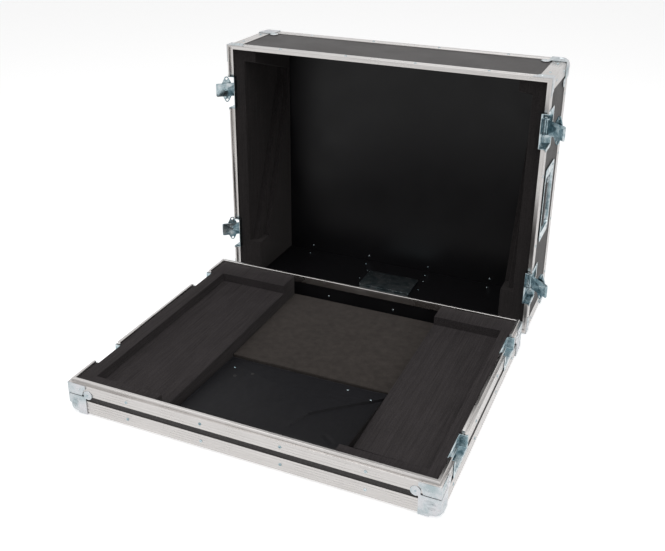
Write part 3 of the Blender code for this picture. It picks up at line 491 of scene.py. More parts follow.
finish = {
    "alongX": makeExtrusion("extrusionAlongX", (3.0, 700.0, 700.0)),
    "alongY": makeExtrusion("extrusionAlongY", (700.0, 3.0, 700.0)),
    "alongZ": makeExtrusion("extrusionAlongZ", (700.0, 700.0, 3.0)),
    "zinc": makeZinc("zincPlate", cornerZinc),
    "latch": makeZinc("latchZinc", latchZinc),
    "foam": makeFoam("charcoalFoam", foamLook),
    # the lining's lower foam colors are painted shade
    "lining": makeFoam("liningFoam", shadedLiningLook),
    "pad": makeFoam("brownFoam", padLook),
    "cloth": makeCloth("pocketNylon"),
    "rubber": makeRubber("gripRubber"),
}

plyFaces = {
    "tray_floor": ("Z", -1), "tray_wall_front": ("Y", -1), "tray_wall_rear": ("Y", 1),
    "tray_wall_left": ("X", -1), "tray_wall_right": ("X", 1), "lid_back": ("Y", 1),
    "lid_wall_bottom": ("Z", -1), "lid_wall_top": ("Z", 1),
    "lid_wall_left": ("X", -1), "lid_wall_right": ("X", 1),
}
for nodeName, (axis, sign) in plyFaces.items():
    giveMaterial(nodes[nodeName], makePly("ply_" + nodeName, axis, sign))
print("ply panels have their finish")


# extrusions with their corner plates, corners eased so that they catch the light

bars = {"ease": 0.00045, "plateProud": 0.00015}


def barFinish(across, along):
    # 0 on the bars along x, 1 on the side bars, 2 on the plates that stand proud of both
    fromSide = case["half"] - abs(across)
    fromEnd = case["length"] / 2 - abs(along)
    if min(fromSide, fromEnd) < -bars["plateProud"]:
        return 2
    return 1 if fromSide < fromEnd else 0


def trayBar(centre):
    return barFinish(centre.x, centre.y - case["trayMiddle"])


def lidBar(centre):
    return barFinish(centre.x, centre.z - case["lidMiddle"])


def camel(nodeName):
    words = nodeName.split("_")
    return words[0] + "".join(word.capitalize() for word in words[1:])


for nodeName in nodes:
    if "rail" not in nodeName and "edge" not in nodeName:
        continue
    body = "tray" if nodeName.startswith("tray") else "lid"
    along, finishOf = ("alongY", trayBar) if body == "tray" else ("alongZ", lidBar)
    finishes = [finish["alongX"], finish[along], finish["zinc"]]
    if nodeName.startswith(("lid_edge_top", "lid_edge_bottom")):
        finishes, finishOf = [finish["alongY"]], None
    piece = mergedCopy(nodeName, camel(nodeName), bars["ease"], 2, 60, finishOf, finishes)
    placeOn(piece, body)
print("extrusions are eased")


# one rivet, used for every row: a low domed head with the pin's hollow in its middle

rivet = {
    "radius": 0.0036, "height": 0.0013, "root": -0.0004, "dome": 0.75,
    "hollow": 0.0013, "hollowDepth": 0.0006,
}


def makeRivet():
    piece = addDisc("rivetMaster", rivet["radius"], rivet["root"], rivet["height"], 20)
    intoEdit(piece)
    top = rivet["height"] - 0.00001
    dome = rivet["height"] * rivet["dome"]
    editPick(piece, "EDGE", lambda edge: all(vert.co.z > top for vert in edge.verts))
    bpy.ops.mesh.bevel(offset=dome, segments=3, affect="EDGES")
    editPick(piece, "FACE", lambda face: face.normal.z > 0.99 and face.calc_center_median().z > top)
    bpy.ops.mesh.inset(thickness=rivet["radius"] - dome - rivet["hollow"])
    bpy.ops.mesh.extrude_region_move(TRANSFORM_OT_translate={"value": (0, 0, -rivet["hollowDepth"])})
    outOfEdit()
    smoothShade(piece, 40)
    giveMaterial(piece, finish["latch"])
    return piece


def facingMatrix(place, outward, size=1.0):
    turn = Vector(outward).to_track_quat("Z", "Y").to_matrix().to_4x4()
    return Matrix.Translation(place) @ turn @ Matrix.Scale(size, 4)


rivetMaster = makeRivet()

rows = {
    "long": (-0.281, -0.094, 0.094, 0.281),     # along the front, rear, top and bottom
    "railHeight": 0.0130, "edgeHeight": 0.0172,  # from the mouth and from the closed face
    "sideTray": (-0.094, 0.094), "sideEdge": (-0.255, -0.094, 0.094, 0.255),
    "depth": (0.325, 0.425),
    "inner": 0.85, "innerWall": 0.0267, "innerBack": 0.0245, "innerRear": 0.041,   # the ends seen inside
}


def trayRivetPlaces():
    places = []
    inset, middle, floor = rows["edgeHeight"], case["trayMiddle"], case["floor"]
    mouth = case["trayMouth"] - rows["railHeight"]
    closed = floor + inset
    for x in rows["long"]:
        for y, out in ((case["trayFront"], -1), (case["trayRear"], 1)):
            places += [((x, y, height), (0, out, 0), 1.0) for height in (mouth, closed)]
            places.append(((x, y - out * inset, floor), (0, 0, -1), 1.0))
    for sign in (-1, 1):
        side, under = sign * case["half"], sign * (case["half"] - inset)
        places += [((side, middle + off, mouth), (sign, 0, 0), 1.0) for off in rows["sideTray"]]
        for off in rows["sideEdge"]:
            places.append(((side, middle + off, closed), (sign, 0, 0), 1.0))
            places.append(((under, middle + off, floor), (0, 0, -1), 1.0))
    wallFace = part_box("tray_wall_rear")[0].y
    places += [((x, wallFace, rows["innerRear"]), (0, -1, 0), rows["inner"]) for x in rows["long"][1:3]]
    return places


def lidRivetPlaces():
    places = []
    inset, middle, back = rows["edgeHeight"], case["lidMiddle"], case["lidBack"]
    mouth = case["lidMouth"] + rows["railHeight"]
    closed = back - inset
    levels = ((case["floor"], -1), (case["lidTop"], 1))
    for x in rows["long"]:
        for z, out in levels:
            places += [((x, y, z), (0, 0, out), 1.0) for y in (mouth, closed)]
            places.append(((x, back, z - out * inset), (0, 1, 0), 1.0))
    for sign in (-1, 1):
        side, within = sign * case["half"], sign * (case["half"] - inset)
        places += [((side, mouth, middle + off), (sign, 0, 0), 1.0) for off in rows["sideTray"]]
        for off in rows["sideEdge"]:
            places.append(((side, closed, middle + off), (sign, 0, 0), 1.0))
            places.append(((within, back, middle + off), (0, 1, 0), 1.0))
        for y in rows["depth"]:
            for z, out in levels:
                places.append(((side, y, z - out * inset), (sign, 0, 0), 1.0))
                places.append(((within, y, z), (0, 0, out), 1.0))
    # the round heads inside, on the back panel and on the top and bottom walls near it
    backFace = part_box("lid_back")[0].y
    nearBack = backFace - rows["innerBack"]
    wallFaces = (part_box("lid_wall_bottom")[1].z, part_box("lid_wall_top")[0].z)
    for x in rows["long"]:
        for (z, out), wallFace in zip(levels, wallFaces):
            places.append(((x, backFace, z - out * rows["innerWall"]), (0, -1, 0), rows["inner"]))
            places.append(((x, nearBack, wallFace), (0, 0, -out), rows["inner"]))
    return places


def setRivets(places, name, body):
    copies = [copyTo(rivetMaster, "rivet", facingMatrix(*place)) for place in places]
    return placeOn(joinAll(copies, name), body)


setRivets(trayRivetPlaces(), "trayRivets", "tray")
setRivets(lidRivetPlaces(), "lidRivets", "lid")
print("rivet rows are in")


# ball corners: a pressed ball that runs out into three plates, each with a round lobe

ball = {
    "centre": 0.021, "radius": 0.026, "sheet": 0.0015, "gap": 0.0003, "trim": 0.0245,
    "side": 0.045, "lobe": 0.051, "lobeRadius": 0.0115, "lobeSteps": 28, "segments": 40,
    "fill": 0.030, "power": 2.9, "voxel": 0.0009, "melt": 7, "keep": 0.5, "thick": 0.0030,
    "point": -0.008, "shell": -0.007, "hollow": 0.090,
    "dimple": (0.0165, 0.0255), "dimpleSize": (0.0115, 0.0080), "dimpleDepth": 0.0040,
    "dimpleFrom": -0.0009, "dimpleRim": 0.9, "rivetSize": 0.62,
}


def wingPoints():
    # a square plate whose outer corner is a round lobe
    start = -ball["sheet"] - ball["gap"]
    side, lobe, radius = ball["side"], ball["lobe"], ball["lobeRadius"]
    reach = math.sqrt(radius ** 2 - (lobe - side) ** 2)
    first = math.atan2(-reach, side - lobe)
    last = math.atan2(side - lobe, -reach) + 2 * math.pi
    points = [(start, start), (side, start)]
    steps = ball["lobeSteps"]
    for i in range(steps + 1):
        angle = first + (last - first) * i / steps
        points.append((lobe + radius * math.cos(angle), lobe + radius * math.sin(angle)))
    points.append((start, side))
    return points


def pressDimples(piece):
    # push the sheet in, inside and outside alike, near the middle of each outward face
    for vert in piece.data.vertices:
        spot = vert.co.copy()
        for axis in range(3):
            if spot[axis] > ball["dimpleFrom"]:
                continue
            first, second = [spot[i] for i in range(3) if i != axis]
            across = (first - ball["dimple"][0]) / ball["dimpleSize"][0]
            along = (second - ball["dimple"][1]) / ball["dimpleSize"][1]
            away = across * across + along * along
            if away < 1.0:
                vert.co[axis] += ball["dimpleDepth"] * (1.0 - away) ** ball["dimpleRim"]


def squareBall(radius):
    # a ball filled out towards the edges of the case
    centre = Vector((ball["centre"],) * 3)
    piece = addBall("squareBall", radius, centre, ball["segments"])
    for vert in piece.data.vertices:
        away = (vert.co - centre) / radius
        full = sum(abs(part) ** ball["power"] for part in away) ** (1.0 / ball["power"])
        vert.co = centre + away * radius / full
    return piece


def makeBallCorner():
    outer = -ball["sheet"] - ball["gap"]
    inner = -ball["gap"]
    thick = ball["thick"]
    points = wingPoints()
    piece = addOutline("ballCornerMaster", points, outer, thick, 0)
    wings = [addOutline("wing", points, outer, thick, turn) for turn in (1, 2)]
    combineWith(piece, wings, "UNION")
    # the corner is filled, its point cut back to the ball, and all melted together before it is hollowed
    combineWith(piece, [addBlock("fill", (outer,) * 3, (ball["fill"],) * 3)], "UNION")
    point = addBlock("point", (ball["point"],) * 3, (ball["centre"],) * 3)
    combineWith(point, [squareBall(ball["radius"])], "DIFFERENCE")
    combineWith(piece, [point], "DIFFERENCE")
    combineWith(piece, [squareBall(ball["radius"])], "UNION")
    addModifier(piece, "REMESH", mode="VOXEL", voxel_size=ball["voxel"])
    addModifier(piece, "SMOOTH", factor=0.5, iterations=ball["melt"])
    addModifier(piece, "DECIMATE", ratio=ball["keep"])
    applyAll(piece)
    hollow = addBlock("hollow", (inner,) * 3, (ball["hollow"],) * 3)
    shell = addBlock("shell", (ball["shell"],) * 3, (ball["trim"],) * 3)
    combineWith(shell, [squareBall(ball["radius"] - ball["sheet"])], "DIFFERENCE")
    combineWith(hollow, [shell], "DIFFERENCE")
    combineWith(piece, [hollow], "DIFFERENCE")
    pressDimples(piece)
    lobe = ball["lobe"]
    extras = [piece]
    for axis in range(3):
        place, outward = [lobe] * 3, [0] * 3
        place[axis], outward[axis] = outer, -1
        matrix = facingMatrix(place, outward, ball["rivetSize"])
        extras.append(copyTo(rivetMaster, "lobeRivet", matrix))
    giveMaterial(piece, finish["zinc"])
    whole = joinAll(extras, "ballCornerMaster")
    smoothShade(whole, 50)
    return whole


ballMaster = makeBallCorner()
cornerPlaces = {
    "tray_corner_front": ("tray", (case["trayFront"], 1), (case["floor"], 1)),
    "tray_corner_rear": ("tray", (case["trayRear"], -1), (case["floor"], 1)),
    "lid_corner_bottom": ("lid", (case["lidBack"], -1), (case["floor"], 1)),
    "lid_corner_top": ("lid", (case["lidBack"], -1), (case["lidTop"], -1)),
}
for nodeName, (body, (y, flipY), (z, flipZ)) in cornerPlaces.items():
    for side, sign in (("left", 1), ("right", -1)):
        turned = Matrix.Diagonal((sign, flipY, flipZ, 1))
        matrix = Matrix.Translation((-sign * case["half"], y, z)) @ turned
        piece = copyTo(ballMaster, camel(nodeName + "_" + side), matrix)
        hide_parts(nodeName + "_" + side)
        placeOn(piece, body)
discard(ballMaster)
print("ball corners are in")


# latches, keepers and handle dishes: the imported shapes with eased, rolled edges

pressed = {
    "dishEase": 0.0006, "hookEase": 0.0004, "wingEase": 0.0006, "flange": 0.0015,
    "rivetSize": 0.62, "rivetEnd": 0.0475, "rivetRows": (0.020, 0.048),
}
latch = {
    "levels": {"lower": 0.136, "upper": 0.558},
    "spindle": (0.453578, 0.287060), "axis": (0.642788, 0.766044),
    "capBase": 0.0066, "capTop": 0.0080, "capRadius": 0.0048, "slot": (0.0075, 0.0011, 0.0006),
    "keepers": {"front": -0.3632, "rear": 0.0588},
}


def makeHubCap():
    piece = addDisc("hubCapMaster", latch["capRadius"], latch["capBase"], latch["capTop"], 24)
    long, wide, deep = latch["slot"]
    top = latch["capTop"]
    for x, y in ((long / 2, wide / 2), (wide / 2, long / 2)):
        combineWith(piece, [addBlock("slot", (-x, -y, top - deep), (x, y, top + deep))], "DIFFERENCE")
    roundEdges(piece, 0.0003, 2, 40)
    smoothShade(piece)
    giveMaterial(piece, finish["zinc"])
    return piece


hubCapMaster = makeHubCap()
for side, sign in (("left", -1), ("right", 1)):
    flangeFace = sign * (case["half"] + pressed["flange"])
    for level, z in latch["levels"].items():
        label = "%s_%s" % (level, side)
        title = level.capitalize() + side.capitalize()
        for nodeName, name, body, ease, steps in (
                ("latch_dish_", "latchDish", "lid", "dishEase", 3),
                ("latch_hook_", "latchHook", "hook_" + label, "hookEase", 2),
                ("latch_butterfly_", "butterfly", "butterfly_" + label, "wingEase", 3)):
            piece = mergedCopy(nodeName + label, name + title, pressed[ease], steps, 50)
            placeOn(piece, body, finish["latch"])
        axis = (sign * latch["axis"][0], latch["axis"][1], 0)
        place = (sign * latch["spindle"][0], latch["spindle"][1], z)
        cap = copyTo(hubCapMaster, "hubCap" + title, facingMatrix(place, axis))
        placeOn(cap, "butterfly_" + label)
        spots = [((flangeFace, case["lidMouth"] + row, z + end * pressed["rivetEnd"]), (sign, 0, 0),
                  pressed["rivetSize"]) for row in pressed["rivetRows"] for end in (-1, 1)]
        setRivets(spots, "latchRivets" + title, "lid")
    for place, y in latch["keepers"].items():
        title = place.capitalize() + side.capitalize()
        keeper = mergedCopy("keeper_%s_%s" % (place, side), "keeper" + title, pressed["dishEase"], 3, 50)
        placeOn(keeper, "tray", finish["latch"])
        height = case["trayMouth"] - pressed["rivetRows"][0]
        spots = [((flangeFace, y + end * pressed["rivetEnd"], height), (sign, 0, 0), pressed["rivetSize"])
                 for end in (-1, 1)]
        setRivets(spots, "keeperRivets" + title, "tray")
discard(hubCapMaster)
print("latches and keepers are in")


# sprung handles, in wall coordinates: x out of the wall, y along the grip, z towards the mouth

handle = {
    "pivot": (-0.008, -0.037), "rod": 0.0039, "half": 0.064, "arm": 0.068, "bend": 0.008, "stub": 0.0744,
    "gripLow": (-0.013, -0.059, 0.018), "gripHigh": (0.0035, 0.059, 0.044), "gripCorner": 0.005,
    "ridges": 22, "ridgeCuts": 6, "ridgeDepth": 0.0008, "plainEnd": 0.06, "endFade": 30, "bendSteps": 8,
    "springRadius": 0.0052, "springWire": 0.0008, "springFrom": 0.040, "springTo": 0.054,
    "springTurns": 7, "springSteps": 14, "springLeg": 0.024, "pin": 0.0024,
    "middle": 0.3642, "flange": 0.0015, "rivetSize": 0.8, "tailSize": 0.62,
    "rivets": ((0.087, 0.040), (0.087, -0.040)),    # along the grip, and across it
    "tails": ((0.087, 0.055), (0.087, -0.055), (0.090, 0.0), (0.026, 0.059), (0.026, -0.057)),
}


def rodPoints():
    # the bail's rod: two stubs at the pivot and a bow with four round bends
    depth, pivot = handle["pivot"]
    half, run, bend = handle["half"], handle["arm"], handle["bend"]
    corners = [((-half + bend, bend), 1.5, 1.0), ((-half + bend, run - bend), 1.0, 0.5),
               ((half - bend, run - bend), 0.5, 0.0), ((half - bend, bend), 0.0, -0.5)]
    points, steps = [(depth, -handle["stub"], pivot)], handle["bendSteps"]
    for centre, first, last in corners:
        for i in range(steps + 1):
            angle = math.pi * (first + (last - first) * i / steps)
            across = centre[0] + bend * math.cos(angle)
            along = centre[1] + bend * math.sin(angle)
            if (first == 1.5 and i == 0) or (last == -0.5 and i == steps):
                continue
            points.append((depth, across, pivot + along))
    points.append((depth, handle["stub"], pivot))
    return points


def makeSpring(sign):
    depth, pivot = handle["pivot"]
    turns, steps = handle["springTurns"], handle["springSteps"]
    points = []
    for i in range(turns * steps + 1):
        angle = 2 * math.pi * i / steps
        along = handle["springFrom"] + (handle["springTo"] - handle["springFrom"]) * i / (turns * steps)
        points.append((depth + handle["springRadius"] * math.sin(angle), sign * along,
                       pivot + handle["springRadius"] * math.cos(angle)))
    points.append((depth, sign * handle["springTo"], pivot + handle["springLeg"]))
    return tubeAlong("spring", points, handle["springWire"], 1)


def runsAlong(edge):
    return abs(edge.verts[1].co.y - edge.verts[0].co.y) > 0.01


def makeGrip():
    # a rounded bar, cut across finely enough for its ridges
    piece = addBlock("gripMaster", handle["gripLow"], handle["gripHigh"])
    intoEdit(piece)
    editPick(piece, "EDGE", runsAlong)
    bpy.ops.mesh.bevel(offset=handle["gripCorner"], segments=5, affect="EDGES")
    bpy.ops.mesh.select_mode(type="EDGE")
    editPick(piece, "EDGE", runsAlong)
    bpy.ops.mesh.subdivide(number_cuts=handle["ridges"] * handle["ridgeCuts"] - 1)
    bpy.ops.mesh.select_mode(type="VERT")
    outOfEdit()
    low, high = Vector(handle["gripLow"]), Vector(handle["gripHigh"])
    middle = (low + high) / 2
    half = (high - low) / 2
    for vert in piece.data.vertices:
        along = (vert.co.y - low.y) / (high.y - low.y)
        wave = 0.5 - 0.5 * math.cos(2 * math.pi * handle["ridges"] * along)
        fromEnd = min(along, 1 - along)
        ends = min(1.0, fromEnd * handle["endFade"])
        inward = handle["ridgeDepth"] * (wave ** 2 if fromEnd > handle["plainEnd"] else 1.0 - ends)
        for i in (0, 2):
            away = vert.co[i] - middle[i]
            vert.co[i] = middle[i] + away * (1.0 - inward / half[i])
    smoothShade(piece, 50)
    return piece


def wallMatrix(x, z, out, grip):
    out, grip = Vector(out), Vector(grip)
    mouthward = out.cross(grip)
    matrix = Matrix((out, grip, mouthward)).transposed().to_4x4()
    matrix.translation = (x, handle["middle"], z)
    return matrix


bottomLow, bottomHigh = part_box("handle_dish_bottom")
handlePlaces = {
    "right": wallMatrix(case["half"], case["lidMiddle"], (1, 0, 0), (0, 0, 1)),
    "left": wallMatrix(-case["half"], case["lidMiddle"], (-1, 0, 0), (0, 0, -1)),
    "bottom": wallMatrix((bottomLow.x + bottomHigh.x) / 2, case["floor"], (0, 0, -1), (1, 0, 0)),
}
rodMaster = tubeAlong("rodMaster", rodPoints(), handle["rod"], 4)
pinLine = [(handle["pivot"][0], side * handle["half"], handle["pivot"][1]) for side in (-1, 1)]
pin = tubeAlong("pin", pinLine, handle["pin"], 3)
springMaster = joinAll([pin, makeSpring(-1), makeSpring(1)], "springMaster")
for master in (rodMaster, springMaster):
    smoothShade(master, 40)
    giveMaterial(master, finish["zinc"])
gripMaster = makeGrip()
for side, matrix in handlePlaces.items():
    title = side.capitalize()
    dish = mergedCopy("handle_dish_" + side, "handleDish" + title, pressed["dishEase"], 3, 50)
    placeOn(dish, "lid", finish["latch"])
    placeOn(copyTo(rodMaster, "handleRod" + title, matrix), "bail_" + side)
    placeOn(copyTo(springMaster, "handleSprings" + title, matrix), "bail_" + side)
    grip = copyTo(gripMaster, "handleGrip" + title, matrix)
    placeOn(grip, "bail_" + side, finish["rubber"])
    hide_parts("handle_bail_" + side)
    outward = matrix.to_3x3() @ Vector((1, 0, 0))
    spots = [(matrix @ Vector((handle["flange"], end * along, across)), outward, handle["rivetSize"])
             for along, across in handle["rivets"] for end in (-1, 1)]
    setRivets(spots, "handleRivets" + title, "lid")
for master in (rodMaster, springMaster, gripMaster):
    discard(master)

# tails of the bottom handle's rivets, inside round its tub
spots = []
for along, across in handle["tails"]:
    for end in (-1, 1):
        spot = handlePlaces["bottom"] @ Vector((0, end * along, across))
        spot.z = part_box("lid_wall_bottom")[1].z
        spots.append((spot, (0, 0, 1), handle["tailSize"]))
setRivets(spots, "handleTails", "lid")
print("handles are in")


# foam blocks of the tray, measured from the case's outer faces

trayFoam = {
    "leftStrip": 0.049, "rightStrip": 0.037, "frontStrip": 0.039, "leftRear": 0.080, "rightRear": 0.072,
    "leftStripEnd": -0.213, "rightStripEnd": 0.2085, "rightBlock": 0.226,
    "platform": 0.060, "keeperInset": 0.0073, "keeperClear": 0.0006, "keeperLow": 0.0087,
    "edge": 0.0012, "edgeSteps": 2, "fill": 1.0,
}


def setPad(block, body, nodeName, material, shape):
    roundEdges(block, shape["edge"], shape["edgeSteps"])
    smoothShade(block)
    placeOn(block, body, material)
    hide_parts(nodeName)


def notchFor(nodeName, side, clear, low, high):
    # room for a tub that comes through the side wall; low and high are in y and z
    tubLow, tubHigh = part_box(nodeName)
    before, beyond = (clear, 0.03) if side == "right" else (0.03, clear)
    return addBlock("notch", (tubLow.x - before, *low), (tubHigh.x + beyond, *high))


def makeTrayFoam(side):
    low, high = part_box("tray_foam_" + side)
    top = high.z + 0.02
    front = case["trayFront"] + trayFoam["frontStrip"]
    bed = trayFoam["platform"]
    name = "trayFoam" + side.capitalize()
    rear = case["trayRear"] - trayFoam[side + "Rear"]
    if side == "left":
        block = addBlock(name, low, high)
        wall = -case["half"] + trayFoam["leftStrip"]
        well = addBlock("well", (wall, front, bed), (high.x + 0.02, rear, top))
        stepFrom = (trayFoam["leftStripEnd"], low.y - 0.01, bed)
        step = addBlock("step", stepFrom, (high.x + 0.02, front + 0.01, top))
        combineWith(block, [well, step], "DIFFERENCE")
    else:
        block = addBlock(name, (trayFoam["rightBlock"], low.y, low.z), high)
        wall = case["half"] - trayFoam["rightStrip"]
        combineWith(block, [addBlock("well", (low.x - 0.02, front, bed), (wall, rear, top))], "DIFFERENCE")
        combineWith(block, [addBlock("end", low, (trayFoam["rightBlock"] + 0.02, front, high.z))], "UNION")
    for place in ("front", "rear"):
        nodeName = "keeper_%s_%s" % (place, side)
        tubLow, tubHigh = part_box(nodeName)
        inset = trayFoam["keeperInset"]
        cut = notchFor(nodeName, side, trayFoam["keeperClear"],
                       (tubLow.y + inset, tubLow.z + trayFoam["keeperLow"]), (tubHigh.y - inset, top))
        combineWith(block, [cut], "DIFFERENCE")
    setPad(block, "tray", "tray_foam_" + side, finish["foam"], trayFoam)


for side in ("left", "right"):
    makeTrayFoam(side)
print("tray foam is cut")


# pad and cable pocket between the blocks

padShape = {"edge": 0.0025, "edgeSteps": 3, "fill": 0.9}
setPad(addBlock("trayPad", *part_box("tray_pad")), "tray", "tray_pad", finish["pad"], padShape)

pocketShape = {
    "columns": 190, "rows": 140, "thickness": 0.0009, "spare": 1.01, "clear": 0.0006, "lowest": 0.0012,
    "rear": 0.0046, "rise": 0.021, "riseCurve": 0.8, "sideRise": 0.45, "crown": 0.005, "side": 0.020,
    "hem": -0.4225, "hemHigh": 0.0011, "hemWide": 0.0035, "hemEnd": 0.05,
    "hemDrop": 0.0055, "hemFall": 0.008, "hemFade": 0.06,
    "fold": [(0.214, -0.192), (0.208, -0.2006), (0.1676, -0.240), (0.134, -0.2761), (0.0855, -0.3305),
             (0.0668, -0.3824), (0.0642, -0.3967)],
    "foldLift": 0.0036, "foldLiftWide": 0.045, "foldDip": 0.0016, "foldDipWide": 0.022, "foldFade": 0.65,
    "flap": [(-0.187, -0.190), (-0.1597, -0.2052), (-0.0616, -0.2371), (-0.0126, -0.2514),
             (0.0324, -0.2489)],
    "flapLift": 0.0010, "flapWide": 0.03, "flapFade": (0.05, 0.6),
    "crease": [(0.1434, -0.3846), (0.177, -0.4138)], "creaseDip": 0.0016, "creaseWide": 0.006,
    "rays": [[(0.178, -0.218), (0.040, -0.262)], [(0.176, -0.222), (0.060, -0.290)],
             [(0.172, -0.214), (0.010, -0.231)]],
    "rayLift": 0.0005, "rayWide": 0.0045, "rayFade": (0.1, 0.4),
    "ripples": [(0.0007, 9.0, 7.0, 0.3), (0.0003, 26.0, 15.0, 2.3)],   # height, waves each way, start
    "studs": [(-0.1652, -0.2202), (0.1848, -0.2158), (0.1194, -0.1945)], "studSize": 0.85,
    "eyelets": [(-0.1108, -0.2320), (-0.1447, -0.2566)], "eyelet": (0.0030, 0.0009),
}
pocketLow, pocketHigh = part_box("cable_pocket")
pocketWide, pocketDeep = pocketHigh.x - pocketLow.x, pocketHigh.y - pocketLow.y


def nearLine(x, y, line):
    # distance to a row of points, which side of it, and the share of the way along
    best = (9.0, 1.0, 0.0)
    count = len(line) - 1
    for i in range(count):
        startX, startY = line[i]
        stepX, stepY = line[i + 1][0] - startX, line[i + 1][1] - startY
        share = ((x - startX) * stepX + (y - startY) * stepY) / (stepX * stepX + stepY * stepY)
        inside = min(1.0, max(0.0, share))
        away = math.hypot(x - startX - inside * stepX, y - startY - inside * stepY)
        if away < best[0]:
            side = 1.0 if stepX * (y - startY) - stepY * (x - startX) < 0 else -1.0
            best = (away, side, (i + inside) / count)
    return best


def fade(share, low=0.15, high=0.85):
    # 0 at both ends of a line, 1 between low and high
    return min(1.0, share / low, (1.0 - share) / (1.0 - high))


def keep01(value):
    return min(1.0, max(0.0, value))


def pocketHeight(x, y):
    # height of the cloth over the tray floor
    shape = pocketShape
    u, v = (x - pocketLow.x) / pocketWide, (y - pocketLow.y) / pocketDeep
    ends = keep01(min(u, 1.0 - u) / shape["side"]) ** 0.5
    full = shape["sideRise"] + (1.0 - shape["sideRise"]) * ends
    height = shape["rear"] + shape["rise"] * (1.0 - v) ** shape["riseCurve"] * full
    height += shape["crown"] * math.sin(math.pi * keep01(u)) * math.sin(math.pi * keep01(v))
    away, side, share = nearLine(x, y, shape["fold"])
    strength = min(1.0, (1.0 - share) / (1.0 - shape["foldFade"]))
    if side > 0:
        height += strength * shape["foldLift"] * math.exp(-away / shape["foldLiftWide"])
    else:
        height -= strength * shape["foldDip"] * math.exp(-away / shape["foldDipWide"])
    away, side, share = nearLine(x, y, shape["flap"])
    if side > 0:
        height += shape["flapLift"] * fade(share, *shape["flapFade"]) * math.exp(-away / shape["flapWide"])
    away, side, share = nearLine(x, y, shape["crease"])
    height -= shape["creaseDip"] * fade(share) * math.exp(-(away / shape["creaseWide"]) ** 2)
    for line in shape["rays"]:
        away, side, share = nearLine(x, y, line)
        lift = shape["rayLift"] * fade(share, *shape["rayFade"])
        height += lift * math.exp(-(away / shape["rayWide"]) ** 2)
    fromHem = y - shape["hem"]
    hemmed = keep01((shape["hemEnd"] - x) / shape["hemFade"])
    height += shape["hemHigh"] * hemmed * math.exp(-(fromHem / shape["hemWide"]) ** 2)
    if fromHem < 0:
        height -= shape["hemDrop"] * (1.0 - math.exp(fromHem / shape["hemFall"]))
    for size, wavesX, wavesY, start in shape["ripples"]:
        height += size * noise.noise(Vector((u * wavesX, v * wavesY, start)))
    return pocketLow.z + max(shape["lowest"], height)


def makePocket():
    bpy.ops.mesh.primitive_grid_add(x_subdivisions=pocketShape["columns"],
                                    y_subdivisions=pocketShape["rows"], size=1.0)
    piece = nameIt("cablePocket")
    for vert in piece.data.vertices:
        x = pocketLow.x + pocketWide * (vert.co.x + 0.5)
        y = pocketLow.y + pocketDeep * (vert.co.y + 0.5)
        vert.co = (x, y, pocketHeight(x, y))
    # the corner that the right block's strip takes up
    cornerX = trayFoam["rightStripEnd"] - pocketShape["clear"]
    cornerY = case["trayFront"] + trayFoam["frontStrip"] + pocketShape["clear"]

    def inCorner(face):
        centre = face.calc_center_median()
        return centre.x > cornerX - 0.001 and centre.y < cornerY + 0.001

    intoEdit(piece)
    editPick(piece, "FACE", inCorner)
    bpy.ops.mesh.delete(type="FACE")
    outOfEdit()
    smoothShade(piece, 60)
    addModifier(piece, "SOLIDIFY", thickness=pocketShape["thickness"], offset=-1.0)
    applyAll(piece)
    placeOn(piece, "tray", finish["cloth"])
    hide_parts("cable_pocket")


makePocket()
spots = [((x, y, pocketHeight(x, y)), (0, 0, 1), pocketShape["studSize"]) for x, y in pocketShape["studs"]]
setRivets(spots, "pressStuds", "tray")
eyelets = []
radius, wire = pocketShape["eyelet"]
for x, y in pocketShape["eyelets"]:
    bpy.ops.mesh.primitive_torus_add(major_segments=20, minor_segments=8, major_radius=radius,
                                     minor_radius=wire, location=(x, y, pocketHeight(x, y)))
    eyelets.append(nameIt("eyelet"))
eyelets = joinAll(eyelets, "pocketEyelets")
smoothShade(eyelets, 60)
placeOn(eyelets, "tray", finish["rubber"])
print("pad and pocket are in")


# foam liners of the deep half: a two-level recess for each cheek of the mixer

liner = {
    "edge": 0.0012, "edgeSteps": 2, "fill": 1.0,
    "bottomBlock": 0.109, "top": 0.6453, "lean": 0.29, "back": 0.204,
    "levels": ((0.016, 0.066, 0.349), (0.0335, 0.029, 0.389)),   # depth, foot, slope
    "clear": 0.0006, "dishInset": 0.0073, "dishBack": 0.0065,
    "handleIn": 0.0075, "handleEnd": 0.0225,
}


def linerRecess(foot, slope):
    # outline in world y and z, from the mouth back
    mouth = case["lidMouth"]
    floor = case["floor"]
    bottom, back, top = liner["bottomBlock"], liner["back"], liner["top"]
    points = [(-0.02, bottom), (foot, bottom), (back, bottom + (back - foot) / slope),
              (back, top - liner["lean"] * back), (0.0, top), (-0.02, top)]
    return [(mouth + into, floor + up) for into, up in points]


